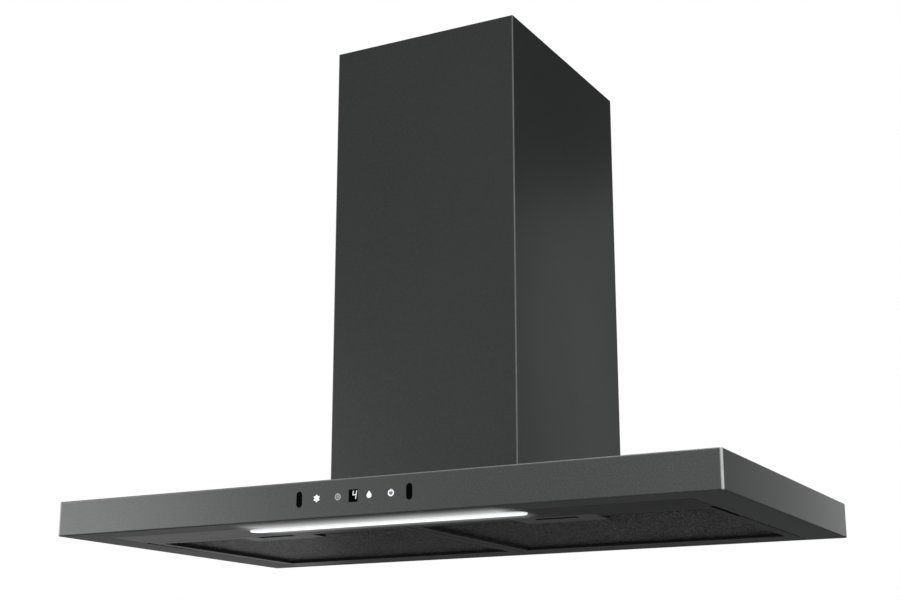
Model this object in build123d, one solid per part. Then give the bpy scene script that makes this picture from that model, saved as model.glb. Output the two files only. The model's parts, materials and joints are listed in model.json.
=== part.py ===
from build123d import *

import math
import os

# A wall-hung chimney range hood: a flat canopy with two grease filters, a light bar and a row
# of touch controls, and above it a telescopic chimney that hides the blower and its damper.
#
# The row's frame, in mm: +X runs to the right along the wall, +Y points into the wall and +Z
# up. The wall is the plane y = 0, and the origin is the centre of the four wall holes.

# ------------------------------------------------------------------ canopy
CANOPY_WIDTH = 900.0
CANOPY_DEPTH = 500.0
CANOPY_HEIGHT = 45.0
CANOPY_SHEET = 1.0
CANOPY_CORNER_RADIUS = 2.5
CANOPY_FOLD_RADIUS = 1.5
RIM_SIDE = 50.0
RIM_FRONT = 44.0
RIM_REAR = 12.0
WALL_HOLES_ABOVE_BOTTOM = 250.0

# how far a cut runs past the face that it opens, and a web into the piece that it joins
PAST = 1.0

# ------------------------------------------------------------------ underside frame
FRAME_SHEET = 1.0
FRAME_SEAM = 0.8
FRAME_LAP = 2.2
FRAME_RAIL = 12.0
RAIL_SETBACK = 1.0
FRONT_STRIP_DEPTH = 72.0
REAR_STRIP_DEPTH = 26.0

# ------------------------------------------------------------------ grease filters
FILTER_HEIGHT = 9.0
FILTER_SHEET = 1.0
FILTER_SIDE_GAP = 2.0
FILTER_END_GAP = 1.5
FILTER_BORDER = 14.0
FILTER_FRONT_BORDER = 18.5
FILTER_HEM_HEIGHT = 3.0
FILTER_NOTCH_LENGTH = 100.0
FILTER_NOTCH_DEPTH = 3.5
MESH_CLEARANCE = 0.3
TAB_WIDTH = 30.0
TAB_REACH = 8.5
TAB_SHEET = 1.0
TAB_INSET = 80.0
SEAT_GAP = 0.3

# ------------------------------------------------------------------ filter latches
LATCH_PLATE_LENGTH = 106.6
LATCH_PLATE_DEPTH = 52.0
LATCH_SHEET = 1.0
FINGER_SLOT_LENGTH = 54.0
FINGER_SLOT_WIDTH = 13.0
FINGER_SLOT_FROM_FRONT = 10.5
SLIDER_LENGTH = 47.0
SLIDER_FRONT_BAR = 7.0
SLIDER_REAR_BAR = 15.0
SLIDER_SHEET = 2.0
SLIDER_ARM = 4.0
SLIDER_LIP = 3.0
SLIDER_LIP_SHEET = 1.0
TONGUE_WIDTH = 29.0
TONGUE_OVERLAP = 4.0
TONGUE_CLEARANCE = 0.5
SPRING_STRIP = 0.5
SPRING_HEIGHT = 3.0
SPRING_WAVES = 4
SPRING_END_GAP = 0.3

# ------------------------------------------------------------------ light bar
LENS_LENGTH = 384.0
LENS_WIDTH = 22.0
LENS_DROP = 2.0
LENS_EDGE_RADIUS = 1.6
LENS_FLANGE = 3.0
LENS_FLANGE_THICKNESS = 1.2
LENS_CLEARANCE = 0.2
LIGHT_FROM_FRONT = 68.0
CHANNEL_WALL = 1.5
CHANNEL_HEIGHT = 14.0
CHANNEL_CLEARANCE = 0.5
LED_BOARD_LENGTH = 372.0
LED_BOARD_WIDTH = 12.0
LED_BOARD_THICKNESS = 1.5
LED_COUNT = 24
LED_SIZE = 3.0
LED_HEIGHT = 1.0
DRIVER_SIZE = (120.0, 40.0, 22.0)
DRIVER_FROM_SIDE = 140.0
DRIVER_EDGE_RADIUS = 3.0

# ------------------------------------------------------------------ touch controls
CONTROLS_ABOVE_BOTTOM = 23.6
ICON_PITCH = 29.5
ICON_NEAR = 21.5
ICON_RADIUS = 4.6
ICON_STEM_RADIUS = 2.5
CONTROL_CLEARANCE = 0.15
DISPLAY_WIDTH = 12.4
DISPLAY_HEIGHT = 14.6
DISPLAY_RECESS = 0.3
DIGIT_WIDTH = 5.4
DIGIT_HEIGHT = 9.6
DIGIT_STROKE = 1.0
DIGIT_SLANT = 0.14
DIGIT_THICKNESS = 0.2
DIGIT_OFFSET_X = 1.7
DIGIT_OFFSET_Z = 0.9
DIGIT_SPLIT = 0.1
SENSOR_SPACING = 151.0
SENSOR_WIDTH = 8.0
SENSOR_HEIGHT = 19.0
WINDOW_FLANGE = 1.8
WINDOW_FLANGE_THICKNESS = 1.0
CONTROL_BOX_WIDTH = 184.0
CONTROL_BOX_HEIGHT = 33.0
CONTROL_BOX_DEPTH = 19.0
CONTROL_BOX_WALL = 1.5
CONTROL_BOARD_BACK = 9.0
CONTROL_BOARD_THICKNESS = 1.6
CONTROL_POST_RADIUS = 2.5

# ------------------------------------------------------------------ chimney
CHIMNEY_WIDTH = 272.0
CHIMNEY_DEPTH = 338.0
CHIMNEY_HEIGHT = 630.0
CHIMNEY_SHEET = 1.0
CHIMNEY_CORNER_RADIUS = 1.6
CHIMNEY_RETURN = 10.0
UPPER_CLEARANCE = 0.8
UPPER_TOP_DROP = 2.0
UPPER_SEAT_HEIGHT = 62.0
UPPER_TRAVEL = 300.0
COLLAR_WIDTH = 14.0
COLLAR_HEIGHT = 3.0
COLLAR_CLEARANCE = 0.5
GUIDE_SHEET = 1.2
GUIDE_DEPTH = 80.0
GUIDE_LEG = 30.0
BRACKET_SHEET = 1.5
BRACKET_WIDTH = 236.0
BRACKET_HEIGHT = 40.0
BRACKET_FROM_TOP = 22.0
BRACKET_ARM = 30.0
BRACKET_EAR = 28.0
BRACKET_HOLE_SPACING = 160.0
BRACKET_HOLE_RADIUS = 3.0
COVER_SCREW_RADIUS = 2.0
SCREW_CLEARANCE = 0.05
SCREW_TIP = 1.0

# ------------------------------------------------------------------ blower tower
TOWER_WIDTH = 236.0
TOWER_FRONT_GAP = 16.0
TOWER_HEIGHT = 340.0
TOWER_SHEET = 1.2
TOWER_FLANGE = 10.0
TOWER_RETURN = 11.0
PANEL_FOOT = 8.0
TOWER_PANEL_GAP = 0.1
INTAKE_FRONT_MARGIN = 22.0
INTAKE_REAR_MARGIN = 30.0
WALL_HOLE_SPACING_X = 200.0
WALL_HOLE_SPACING_Z = 150.0
WALL_HOLE_RADIUS = 4.25
SAFETY_HOLE_SPACING = 600.0
SAFETY_HOLE_RADIUS = 3.0
BASE_RING_MARGIN = 12.0
BASE_RING_THICKNESS = 2.0
TOWER_SCREW_RADIUS = 2.0
TOWER_SCREW_HEAD_RADIUS = 3.8
TOWER_SCREW_HEAD = 2.4
TOWER_SCREW_ROWS = 3
STIFFENER_FROM_SIDE = 245.0
STIFFENER_WIDTH = 24.0
STIFFENER_HEIGHT = 12.0
STIFFENER_WALL = 1.0

# ------------------------------------------------------------------ blower
VOLUTE_BASE_RADIUS = 102.0
VOLUTE_STEP = 14.0
VOLUTE_SHEET = 1.2
VOLUTE_WIDTH = 184.0
VOLUTE_FLOOR_GAP = 16.0
VOLUTE_REAR_GAP = 12.0
VOLUTE_FLANGE = 12.0
INLET_RADIUS = 76.0
BELL_THROAT_RADIUS = 68.0
BELL_FLANGE_RADIUS = 90.0
BELL_DEPTH = 6.0
BELL_SHEET = 1.2
IMPELLER_RADIUS = 84.0
IMPELLER_HALF_WIDTH = 82.0
IMPELLER_BLADES = 30
BLADE_LENGTH = 14.0
BLADE_THICKNESS = 1.2
BLADE_ANGLE = 35.0
BLADE_INSET = 1.0
RING_WIDTH = 2.0
IMPELLER_DISC = 2.0
HUB_RADIUS = 16.0
HUB_LENGTH = 22.0
SHAFT_RADIUS = 4.0
SHAFT_RUNNING_FIT = 0.05
SHAFT_PRESS_FIT = 0.02
SHAFT_END = 2.0
SHAFT_TAIL = 4.0
MOTOR_RADIUS = 46.0
MOTOR_LENGTH = 66.0
MOTOR_HUB_GAP = 4.0
MOTOR_BOSS_RADIUS = 30.0
MOTOR_BRACKET_SHEET = 3.0
MOTOR_ARM_WIDTH = 12.0
MOTOR_ARMS = 3
MOTOR_ARM_INSET = 2.0
MOTOR_EDGE_RADIUS = 5.0
CAPACITOR_RADIUS = 16.0
CAPACITOR_LENGTH = 62.0
CAPACITOR_FROM_FRONT = 24.0
CAPACITOR_ABOVE_FLOOR = 26.0
CAPACITOR_EDGE_RADIUS = 3.0
GASKET_HEIGHT = 6.0
GASKET_WIDTH = 4.0
MOUNT_RADIUS = 4.0

# ------------------------------------------------------------------ outlet and damper
OUTLET_RADIUS = 75.0
OUTLET_WALL = 2.0
OUTLET_HEIGHT = 60.0
OUTLET_FLANGE_RADIUS = 88.0
OUTLET_FLANGE_THICKNESS = 2.0
DAMPER_HEIGHT = 22.0
DAMPER_THICKNESS = 1.2
DAMPER_EDGE_GAP = 1.0
DAMPER_ROOT_GAP = 4.0
DAMPER_PIN_RADIUS = 1.5
KNUCKLE_RADIUS = 3.0
KNUCKLE_LENGTH = 20.0
KNUCKLE_GAP = 4.0
DAMPER_LEDGE = 3.0
KNUCKLE_ROOM = 1.0

# ------------------------------------------------------------------ electronics
BOX_SIZE = (150.0, 58.0, 26.0)
BOX_WALL = 2.0
BOX_FROM_SIDE = 140.0
BOX_FROM_FRONT = 80.0
LID_THICKNESS = 2.0
BOARD_THICKNESS = 1.6
BOARD_MARGIN = 2.5
BOARD_POST_HEIGHT = 5.0
BOARD_POST_RADIUS = 3.0
GLAND_RADIUS = 10.0
GLAND_HEIGHT = 15.0
GLAND_BORE_RADIUS = 4.0
GLAND_EDGE_RADIUS = 2.0
GLAND_X = 95.0
GLAND_FROM_WALL = 50.0
LOOM_RADIUS = 2.5
LOOM_BELOW_CEILING = 18.0
LOOM_STRAIGHT = 13.0
LOOM_SLOPE = 22.0
LOOM_BEND = 28.0
LOOM_BRANCH_X = 40.0
LOOM_BRANCH_RADIUS = 1.8

# ------------------------------------------------------------------ places worked out from the sizes
BOTTOM = -WALL_HOLES_ABOVE_BOTTOM
CANOPY_TOP = BOTTOM + CANOPY_HEIGHT
CANOPY_CEILING = CANOPY_TOP - CANOPY_SHEET
RIM_TOP = BOTTOM + CANOPY_SHEET
FRONT = -CANOPY_DEPTH
HALF_WIDTH = CANOPY_WIDTH / 2
FASCIA_BACK = FRONT + CANOPY_SHEET

RIM_X = HALF_WIDTH - RIM_SIDE
RIM_FRONT_Y = FRONT + RIM_FRONT
RIM_REAR_Y = -RIM_REAR
STRIP_FRONT_Y = RIM_FRONT_Y + FRAME_SEAM
FILTER_BAY_FRONT = RIM_FRONT_Y + FRONT_STRIP_DEPTH
FILTER_BAY_REAR = RIM_REAR_Y - REAR_STRIP_DEPTH
STRIP_TOP = BOTTOM + FRAME_SHEET

FILTER_FRONT = FILTER_BAY_FRONT + FILTER_END_GAP
FILTER_REAR = FILTER_BAY_REAR - FILTER_END_GAP
FILTER_INNER_X = FILTER_SIDE_GAP / 2
FILTER_OUTER_X = RIM_X - FILTER_SIDE_GAP
FILTER_TOP = BOTTOM + FILTER_HEIGHT
FILTER_CENTRE_X = (FILTER_INNER_X + FILTER_OUTER_X) / 2
MESH_BOTTOM = BOTTOM + FILTER_SHEET + FILTER_HEM_HEIGHT
TAB_BOTTOM = STRIP_TOP + SEAT_GAP
LATCH_REAR = FILTER_FRONT + LATCH_PLATE_DEPTH
SLOT_FRONT_Y = FILTER_FRONT + FINGER_SLOT_FROM_FRONT
SLOT_REAR_Y = SLOT_FRONT_Y + FINGER_SLOT_WIDTH
SLIDER_FRONT = SLOT_FRONT_Y - SLIDER_FRONT_BAR
SLIDER_REAR = SLOT_REAR_Y + SLIDER_REAR_BAR
SLIDER_BOTTOM = BOTTOM + LATCH_SHEET + SEAT_GAP

LIGHT_Y = FRONT + LIGHT_FROM_FRONT
CONTROL_Z = BOTTOM + CONTROLS_ABOVE_BOTTOM

STIFFENER_X = HALF_WIDTH - STIFFENER_FROM_SIDE
DRIVER_X = HALF_WIDTH - DRIVER_FROM_SIDE
BOX_X = -HALF_WIDTH + BOX_FROM_SIDE

CHIMNEY_TOP = CANOPY_TOP + CHIMNEY_HEIGHT
CHIMNEY_X = CHIMNEY_WIDTH / 2
UPPER_X = CHIMNEY_X - CHIMNEY_SHEET - UPPER_CLEARANCE
UPPER_FRONT = -CHIMNEY_DEPTH + CHIMNEY_SHEET + UPPER_CLEARANCE
UPPER_REAR = -CHIMNEY_SHEET - UPPER_CLEARANCE
UPPER_BOTTOM = CANOPY_TOP + UPPER_SEAT_HEIGHT
UPPER_TOP = CHIMNEY_TOP - UPPER_TOP_DROP

TOWER_X = TOWER_WIDTH / 2
TOWER_DEPTH = CHIMNEY_DEPTH - TOWER_FRONT_GAP
TOWER_TOP = CANOPY_TOP + TOWER_HEIGHT
TOP_PLATE_TOP = TOWER_TOP + TOWER_SHEET
INTAKE_X = TOWER_X - TOWER_FLANGE
INTAKE_FRONT = -TOWER_DEPTH + INTAKE_FRONT_MARGIN
INTAKE_REAR = -INTAKE_REAR_MARGIN

BLOWER_Y = -VOLUTE_REAR_GAP - VOLUTE_SHEET - VOLUTE_BASE_RADIUS - VOLUTE_STEP / 2
BLOWER_Z = CANOPY_TOP + VOLUTE_FLOOR_GAP + VOLUTE_SHEET + VOLUTE_BASE_RADIUS + 1.5 * VOLUTE_STEP
VOLUTE_X = VOLUTE_WIDTH / 2
SIDE_PLATE_X = VOLUTE_X + VOLUTE_SHEET
BELL_FACE_X = SIDE_PLATE_X + BELL_SHEET
VOLUTE_TOP = TOWER_TOP - GASKET_HEIGHT
DUCT_FRONT = -VOLUTE_BASE_RADIUS - 2.5 * VOLUTE_STEP
DUCT_REAR = VOLUTE_STEP / 2
OUTLET_Y = BLOWER_Y + (DUCT_FRONT + DUCT_REAR) / 2
OUTLET_TOP = TOP_PLATE_TOP + OUTLET_HEIGHT
DAMPER_Z = TOP_PLATE_TOP + DAMPER_HEIGHT
HUB_INNER_X = -HUB_LENGTH / 2
MOTOR_FRONT_X = HUB_INNER_X - MOTOR_HUB_GAP
MOTOR_REAR_X = MOTOR_FRONT_X - MOTOR_LENGTH


# ------------------------------------------------------------------ helpers
def block(x, y, z):
    """A box between the low and high values given for each axis."""
    middle = [(low + high) / 2 for low, high in (x, y, z)]
    size = [high - low for low, high in (x, y, z)]
    return Pos(*middle) * Box(*size)


def rod(axis, centre, radius, low, high):
    """A round bar along an axis, between two places on it."""
    turn = {"x": Rot(0, 90, 0), "y": Rot(-90, 0, 0), "z": Rot(0, 0, 0)}[axis]
    place = list(centre)
    place["xyz".index(axis)] = (low + high) / 2
    return Pos(*place) * turn * Cylinder(radius, high - low)


def stadium(centre, length, width, low, high, axis):
    """A bar with a slot-shaped section: along X and pointing up, or upright and pointing out."""
    if axis == "z":
        return Pos(centre[0], centre[1], low) * extrude(SlotOverall(length, width), high - low)
    plane = Plane((centre[0], high, centre[1]), x_dir=(1, 0, 0), z_dir=(0, -1, 0))
    return extrude(plane * SlotOverall(length, width, rotation=90), high - low)


def mirrored(shape):
    """The same piece on the other side of the middle."""
    return shape.mirror(Plane.YZ)


def both_sides(shape):
    return shape + mirrored(shape)


def group(shapes):
    return Compound(children=list(shapes))


def fold_radius(shape, x, y, radius):
    """Rounds the upright edges at plus and minus x on the line y."""
    edges = [
        edge
        for edge in shape.edges().filter_by(Axis.Z)
        if abs(abs(edge.center().X) - x) < 0.01 and abs(edge.center().Y - y) < 0.01
    ]
    return fillet(edges, radius)


# ------------------------------------------------------------------ control places
def icon_places():
    """The four touch icons, left to right, as distances from the middle."""
    return {
        "fan": -ICON_NEAR - ICON_PITCH,
        "clock": -ICON_NEAR,
        "droplet": ICON_NEAR,
        "power": ICON_NEAR + ICON_PITCH,
    }


# ------------------------------------------------------------------ canopy pieces
def folded_rims(shape, radius):
    """Rounds the folds along the front and both sides, at the top and at the bottom."""
    rims = shape.edges().group_by(Axis.Z)
    edges = [
        edge
        for edge in list(rims[0]) + list(rims[-1])
        if edge.center().Y < shape.bounding_box().max.Y - radius
    ]
    return fillet(edges, radius)


def canopy_shell():
    outer = block((-HALF_WIDTH, HALF_WIDTH), (FRONT, 0), (BOTTOM, CANOPY_TOP))
    outer = fold_radius(outer, HALF_WIDTH, FRONT, CANOPY_CORNER_RADIUS)
    outer = folded_rims(outer, CANOPY_FOLD_RADIUS)
    inner_x = HALF_WIDTH - CANOPY_SHEET
    inside = block((-inner_x, inner_x), (FASCIA_BACK, -CANOPY_SHEET), (RIM_TOP, CANOPY_CEILING))
    inside = fold_radius(inside, inner_x, FASCIA_BACK, CANOPY_CORNER_RADIUS - CANOPY_SHEET)
    inside = folded_rims(inside, CANOPY_FOLD_RADIUS - CANOPY_SHEET)
    shell = outer - inside
    shell -= block((-RIM_X, RIM_X), (RIM_FRONT_Y, RIM_REAR_Y), (BOTTOM - PAST, RIM_TOP + PAST))
    shell -= block(
        (-INTAKE_X, INTAKE_X), (INTAKE_FRONT, INTAKE_REAR), (CANOPY_CEILING - PAST, CANOPY_TOP + PAST)
    )
    through = (FRONT - PAST, FASCIA_BACK + PAST)
    for x in icon_places().values():
        hole = ICON_RADIUS + CONTROL_CLEARANCE
        shell -= rod("y", (x, 0, CONTROL_Z), hole, *through)
    half_width = DISPLAY_WIDTH / 2 + CONTROL_CLEARANCE
    half_height = DISPLAY_HEIGHT / 2 + CONTROL_CLEARANCE
    shell -= block(
        (-half_width, half_width), through, (CONTROL_Z - half_height, CONTROL_Z + half_height)
    )
    for side in (-1, 1):
        slot_height = SENSOR_HEIGHT + 2 * CONTROL_CLEARANCE
        slot_width = SENSOR_WIDTH + 2 * CONTROL_CLEARANCE
        place = (side * SENSOR_SPACING / 2, CONTROL_Z)
        shell -= stadium(place, slot_height, slot_width, *through, "y")
        safety_z = BOTTOM + CANOPY_HEIGHT / 2
        safety_x = side * SAFETY_HOLE_SPACING / 2
        shell -= rod("y", (safety_x, 0, safety_z), SAFETY_HOLE_RADIUS, -CANOPY_SHEET - PAST, PAST)
    for x, y in tower_screw_places():
        hole = TOWER_SCREW_RADIUS + SCREW_CLEARANCE
        shell -= rod("z", (x, y, 0), hole, CANOPY_CEILING - PAST, CANOPY_TOP + PAST)
    return shell


def underside_frame():
    """The pressed frame between the rims: a front strip, a rear strip and the side rails."""
    lap_top = STRIP_TOP + FRAME_SHEET
    rail_x = RIM_X + RAIL_SETBACK
    rear_y = RIM_REAR_Y + RIM_REAR - FRAME_SHEET - FRAME_SEAM
    front_y = RIM_FRONT_Y - FRAME_RAIL
    strip_x = RIM_X - FRAME_SEAM
    lap_x = strip_x - FRAME_LAP
    ring = block((-rail_x - FRAME_RAIL, rail_x + FRAME_RAIL), (front_y, rear_y), (STRIP_TOP, lap_top))
    ring -= block(
        (-lap_x, lap_x),
        (STRIP_FRONT_Y + FRAME_LAP, FILTER_BAY_FRONT - FRAME_LAP),
        (STRIP_TOP - PAST, lap_top + PAST),
    )
    ring -= block(
        (-rail_x, rail_x),
        (FILTER_BAY_FRONT - FRAME_LAP, RIM_REAR_Y - FRAME_SEAM - FRAME_LAP),
        (STRIP_TOP - PAST, lap_top + PAST),
    )
    front_strip = block((-strip_x, strip_x), (STRIP_FRONT_Y, FILTER_BAY_FRONT), (BOTTOM, STRIP_TOP))
    rear_strip = block(
        (-strip_x, strip_x), (FILTER_BAY_REAR, RIM_REAR_Y - FRAME_SEAM), (BOTTOM, STRIP_TOP)
    )
    frame = ring + front_strip + rear_strip
    slot_length = LENS_LENGTH + 2 * LENS_CLEARANCE
    slot_width = LENS_WIDTH + 2 * LENS_CLEARANCE
    frame -= stadium((0, LIGHT_Y), slot_length, slot_width, BOTTOM - PAST, STRIP_TOP + PAST, "z")
    return frame


def canopy_stiffeners():
    """Two hat-shaped ribs under the canopy's top, one each side of the tower."""
    low_x = STIFFENER_X - STIFFENER_WIDTH / 2
    high_x = STIFFENER_X + STIFFENER_WIDTH / 2
    depth = (FASCIA_BACK + RIM_FRONT / 2, -RIM_REAR)
    rib = block((low_x, high_x), depth, (CANOPY_CEILING - STIFFENER_HEIGHT, CANOPY_CEILING))
    rib -= block(
        (low_x + STIFFENER_WALL, high_x - STIFFENER_WALL),
        (depth[0] - PAST, depth[1] + PAST),
        (CANOPY_CEILING - STIFFENER_HEIGHT + STIFFENER_WALL, CANOPY_CEILING + PAST),
    )
    return group([rib, mirrored(rib)])


def tower_base_ring():
    """A flat ring under the canopy's top that takes the tower's screws."""
    ring = block(
        (-TOWER_X - BASE_RING_MARGIN, TOWER_X + BASE_RING_MARGIN),
        (-TOWER_DEPTH - BASE_RING_MARGIN, INTAKE_REAR + BASE_RING_MARGIN),
        (CANOPY_CEILING - BASE_RING_THICKNESS, CANOPY_CEILING),
    )
    ring -= block(
        (-INTAKE_X, INTAKE_X),
        (INTAKE_FRONT, INTAKE_REAR),
        (CANOPY_CEILING - BASE_RING_THICKNESS - PAST, CANOPY_CEILING + PAST),
    )
    for x, y in tower_screw_places():
        hole = TOWER_SCREW_RADIUS + SCREW_CLEARANCE
        ring -= rod("z", (x, y, 0), hole, CANOPY_CEILING - BASE_RING_THICKNESS - PAST, CANOPY_CEILING + PAST)
    return ring


def chimney_base_collar():
    """The flat trim round the chimney's foot, open at the wall."""
    inner_x = CHIMNEY_X + COLLAR_CLEARANCE
    outer_x = inner_x + COLLAR_WIDTH
    inner_y = -CHIMNEY_DEPTH - COLLAR_CLEARANCE
    height = (CANOPY_TOP, CANOPY_TOP + COLLAR_HEIGHT)
    collar = block((-outer_x, outer_x), (inner_y - COLLAR_WIDTH, 0), height)
    collar -= block((-inner_x, inner_x), (inner_y, PAST), (height[0] - PAST, height[1] + PAST))
    return collar


# ------------------------------------------------------------------ light bar pieces
def light_lens():
    """The diffuser, which stands a little proud of the strip, with a flange behind it."""
    lens = stadium((0, LIGHT_Y), LENS_LENGTH, LENS_WIDTH, BOTTOM - LENS_DROP, STRIP_TOP, "z")
    rim = lens.edges().group_by(Axis.Z)[0]
    lens = fillet(rim, LENS_EDGE_RADIUS)
    half_length = LENS_LENGTH / 2 + LENS_FLANGE
    half_width = LENS_WIDTH / 2 + LENS_FLANGE
    lens += block(
        (-half_length, half_length),
        (LIGHT_Y - half_width, LIGHT_Y + half_width),
        (STRIP_TOP, STRIP_TOP + LENS_FLANGE_THICKNESS),
    )
    return lens


def channel_inside():
    half_length = LENS_LENGTH / 2 + LENS_FLANGE + CHANNEL_CLEARANCE
    half_width = LENS_WIDTH / 2 + LENS_FLANGE + CHANNEL_CLEARANCE
    return half_length, half_width


def light_channel():
    """The folded cover that holds the lens down and carries the light board."""
    half_length, half_width = channel_inside()
    outer_x = half_length + CHANNEL_WALL
    outer_y = half_width + CHANNEL_WALL
    top = STRIP_TOP + CHANNEL_HEIGHT
    channel = block((-outer_x, outer_x), (LIGHT_Y - outer_y, LIGHT_Y + outer_y), (STRIP_TOP, top))
    channel -= block(
        (-half_length, half_length),
        (LIGHT_Y - half_width, LIGHT_Y + half_width),
        (STRIP_TOP - PAST, top - CHANNEL_WALL),
    )
    return channel


def led_board():
    ceiling = STRIP_TOP + CHANNEL_HEIGHT - CHANNEL_WALL
    return block(
        (-LED_BOARD_LENGTH / 2, LED_BOARD_LENGTH / 2),
        (LIGHT_Y - LED_BOARD_WIDTH / 2, LIGHT_Y + LED_BOARD_WIDTH / 2),
        (ceiling - LED_BOARD_THICKNESS, ceiling),
    )


def led_chips():
    board_bottom = STRIP_TOP + CHANNEL_HEIGHT - CHANNEL_WALL - LED_BOARD_THICKNESS
    pitch = LED_BOARD_LENGTH / LED_COUNT
    chips = []
    for number in range(LED_COUNT):
        x = (number + 0.5) * pitch - LED_BOARD_LENGTH / 2
        chips.append(
            block(
                (x - LED_SIZE / 2, x + LED_SIZE / 2),
                (LIGHT_Y - LED_SIZE / 2, LIGHT_Y + LED_SIZE / 2),
                (board_bottom - LED_HEIGHT, board_bottom),
            )
        )
    return group(chips)


def led_driver():
    """The light's power supply, fixed under the canopy's top."""
    length, depth, height = DRIVER_SIZE
    case = block(
        (DRIVER_X - length / 2, DRIVER_X + length / 2),
        (LIGHT_Y - depth / 2, LIGHT_Y + depth / 2),
        (CANOPY_CEILING - height, CANOPY_CEILING),
    )
    return fillet(case.edges().filter_by(Axis.Z), DRIVER_EDGE_RADIUS)


# ------------------------------------------------------------------ control pieces
def control_housing():
    """The plastic tray behind the fascia, open towards it, with four posts for the board."""
    half_width = CONTROL_BOX_WIDTH / 2
    half_height = CONTROL_BOX_HEIGHT / 2
    wall = CONTROL_BOX_WALL
    back = FASCIA_BACK + CONTROL_BOX_DEPTH
    tray = block(
        (-half_width, half_width), (FASCIA_BACK, back), (CONTROL_Z - half_height, CONTROL_Z + half_height)
    )
    tray -= block(
        (-half_width + wall, half_width - wall),
        (FASCIA_BACK - PAST, back - wall),
        (CONTROL_Z - half_height + wall, CONTROL_Z + half_height - wall),
    )
    board_back = FASCIA_BACK + CONTROL_BOARD_BACK + CONTROL_BOARD_THICKNESS
    for x in (-1, 1):
        for z in (-1, 1):
            post_x = x * (half_width - 3 * wall - CONTROL_POST_RADIUS)
            post_z = CONTROL_Z + z * (half_height - 2 * wall - CONTROL_POST_RADIUS)
            tray += rod("y", (post_x, 0, post_z), CONTROL_POST_RADIUS, board_back, back - wall / 2)
    return tray


def control_board():
    half_width = CONTROL_BOX_WIDTH / 2 - 2 * CONTROL_BOX_WALL
    half_height = CONTROL_BOX_HEIGHT / 2 - 2 * CONTROL_BOX_WALL
    face = FASCIA_BACK + CONTROL_BOARD_BACK
    return block(
        (-half_width, half_width),
        (face, face + CONTROL_BOARD_THICKNESS),
        (CONTROL_Z - half_height, CONTROL_Z + half_height),
    )


def display_window():
    """The dark pane in the fascia, held from behind by its flange and a block on the board."""
    half_width = DISPLAY_WIDTH / 2
    half_height = DISPLAY_HEIGHT / 2
    flange_back = FASCIA_BACK + WINDOW_FLANGE_THICKNESS
    pane = block(
        (-half_width, half_width),
        (FRONT + DISPLAY_RECESS, FASCIA_BACK + CONTROL_BOARD_BACK),
        (CONTROL_Z - half_height, CONTROL_Z + half_height),
    )
    pane += block(
        (-half_width - WINDOW_FLANGE, half_width + WINDOW_FLANGE),
        (FASCIA_BACK, flange_back),
        (CONTROL_Z - half_height - WINDOW_FLANGE, CONTROL_Z + half_height + WINDOW_FLANGE),
    )
    return pane


def display_digit():
    """The lit strokes of a plain four, which lean as on a seven-stroke display."""
    face = FRONT + DISPLAY_RECESS
    depth = (face - DIGIT_THICKNESS, face)
    middle_x = DIGIT_OFFSET_X
    middle_z = CONTROL_Z + DIGIT_OFFSET_Z
    left = -DIGIT_WIDTH / 2
    right = DIGIT_WIDTH / 2
    half = DIGIT_STROKE / 2
    upper = (half + DIGIT_SPLIT, DIGIT_HEIGHT / 2)
    lower = (-DIGIT_HEIGHT / 2, -half - DIGIT_SPLIT)
    strokes = [
        ((left, left + DIGIT_STROKE), upper),
        ((right - DIGIT_STROKE, right), upper),
        ((right - DIGIT_STROKE, right), lower),
        ((left, right), (-half, half)),
    ]
    plane = Plane((middle_x, depth[1], middle_z), x_dir=(1, 0, 0), z_dir=(0, -1, 0))
    made = []
    for (low_x, high_x), (low_z, high_z) in strokes:
        corners = [(low_x, low_z), (high_x, low_z), (high_x, high_z), (low_x, high_z)]
        outline = Polyline(*[(x + DIGIT_SLANT * z, z) for x, z in corners], close=True)
        made.append(extrude(plane * make_face(outline), depth[1] - depth[0]))
    return group(made)


def icon_light(x):
    """A round light guide: its head in the fascia, its stem on the control board."""
    board_face = FASCIA_BACK + CONTROL_BOARD_BACK
    head = rod("y", (x, 0, CONTROL_Z), ICON_RADIUS, FRONT, FASCIA_BACK)
    flange_back = FASCIA_BACK + WINDOW_FLANGE_THICKNESS
    flange = rod("y", (x, 0, CONTROL_Z), ICON_RADIUS + WINDOW_FLANGE, FASCIA_BACK, flange_back)
    stem = rod("y", (x, 0, CONTROL_Z), ICON_STEM_RADIUS, flange_back, board_face)
    return head + flange + stem


def sensor_window(side):
    """An upright dark window with a flange behind the fascia and a foot on the board."""
    place = (side * SENSOR_SPACING / 2, CONTROL_Z)
    board_face = FASCIA_BACK + CONTROL_BOARD_BACK
    window = stadium(place, SENSOR_HEIGHT, SENSOR_WIDTH, FRONT + DISPLAY_RECESS, board_face, "y")
    window += stadium(
        place,
        SENSOR_HEIGHT + 2 * WINDOW_FLANGE,
        SENSOR_WIDTH + 2 * WINDOW_FLANGE,
        FASCIA_BACK,
        FASCIA_BACK + WINDOW_FLANGE_THICKNESS,
        "y",
    )
    return window


# ------------------------------------------------------------------ filter pieces, right-hand side
def latch_pocket(clearance):
    """The space that the latch plate takes up in the filter, with a clearance all round."""
    half = LATCH_PLATE_LENGTH / 2 + clearance
    return block(
        (FILTER_CENTRE_X - half, FILTER_CENTRE_X + half),
        (FILTER_FRONT - PAST, LATCH_REAR + clearance),
        (BOTTOM - PAST, FILTER_TOP - FILTER_SHEET),
    )


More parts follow.
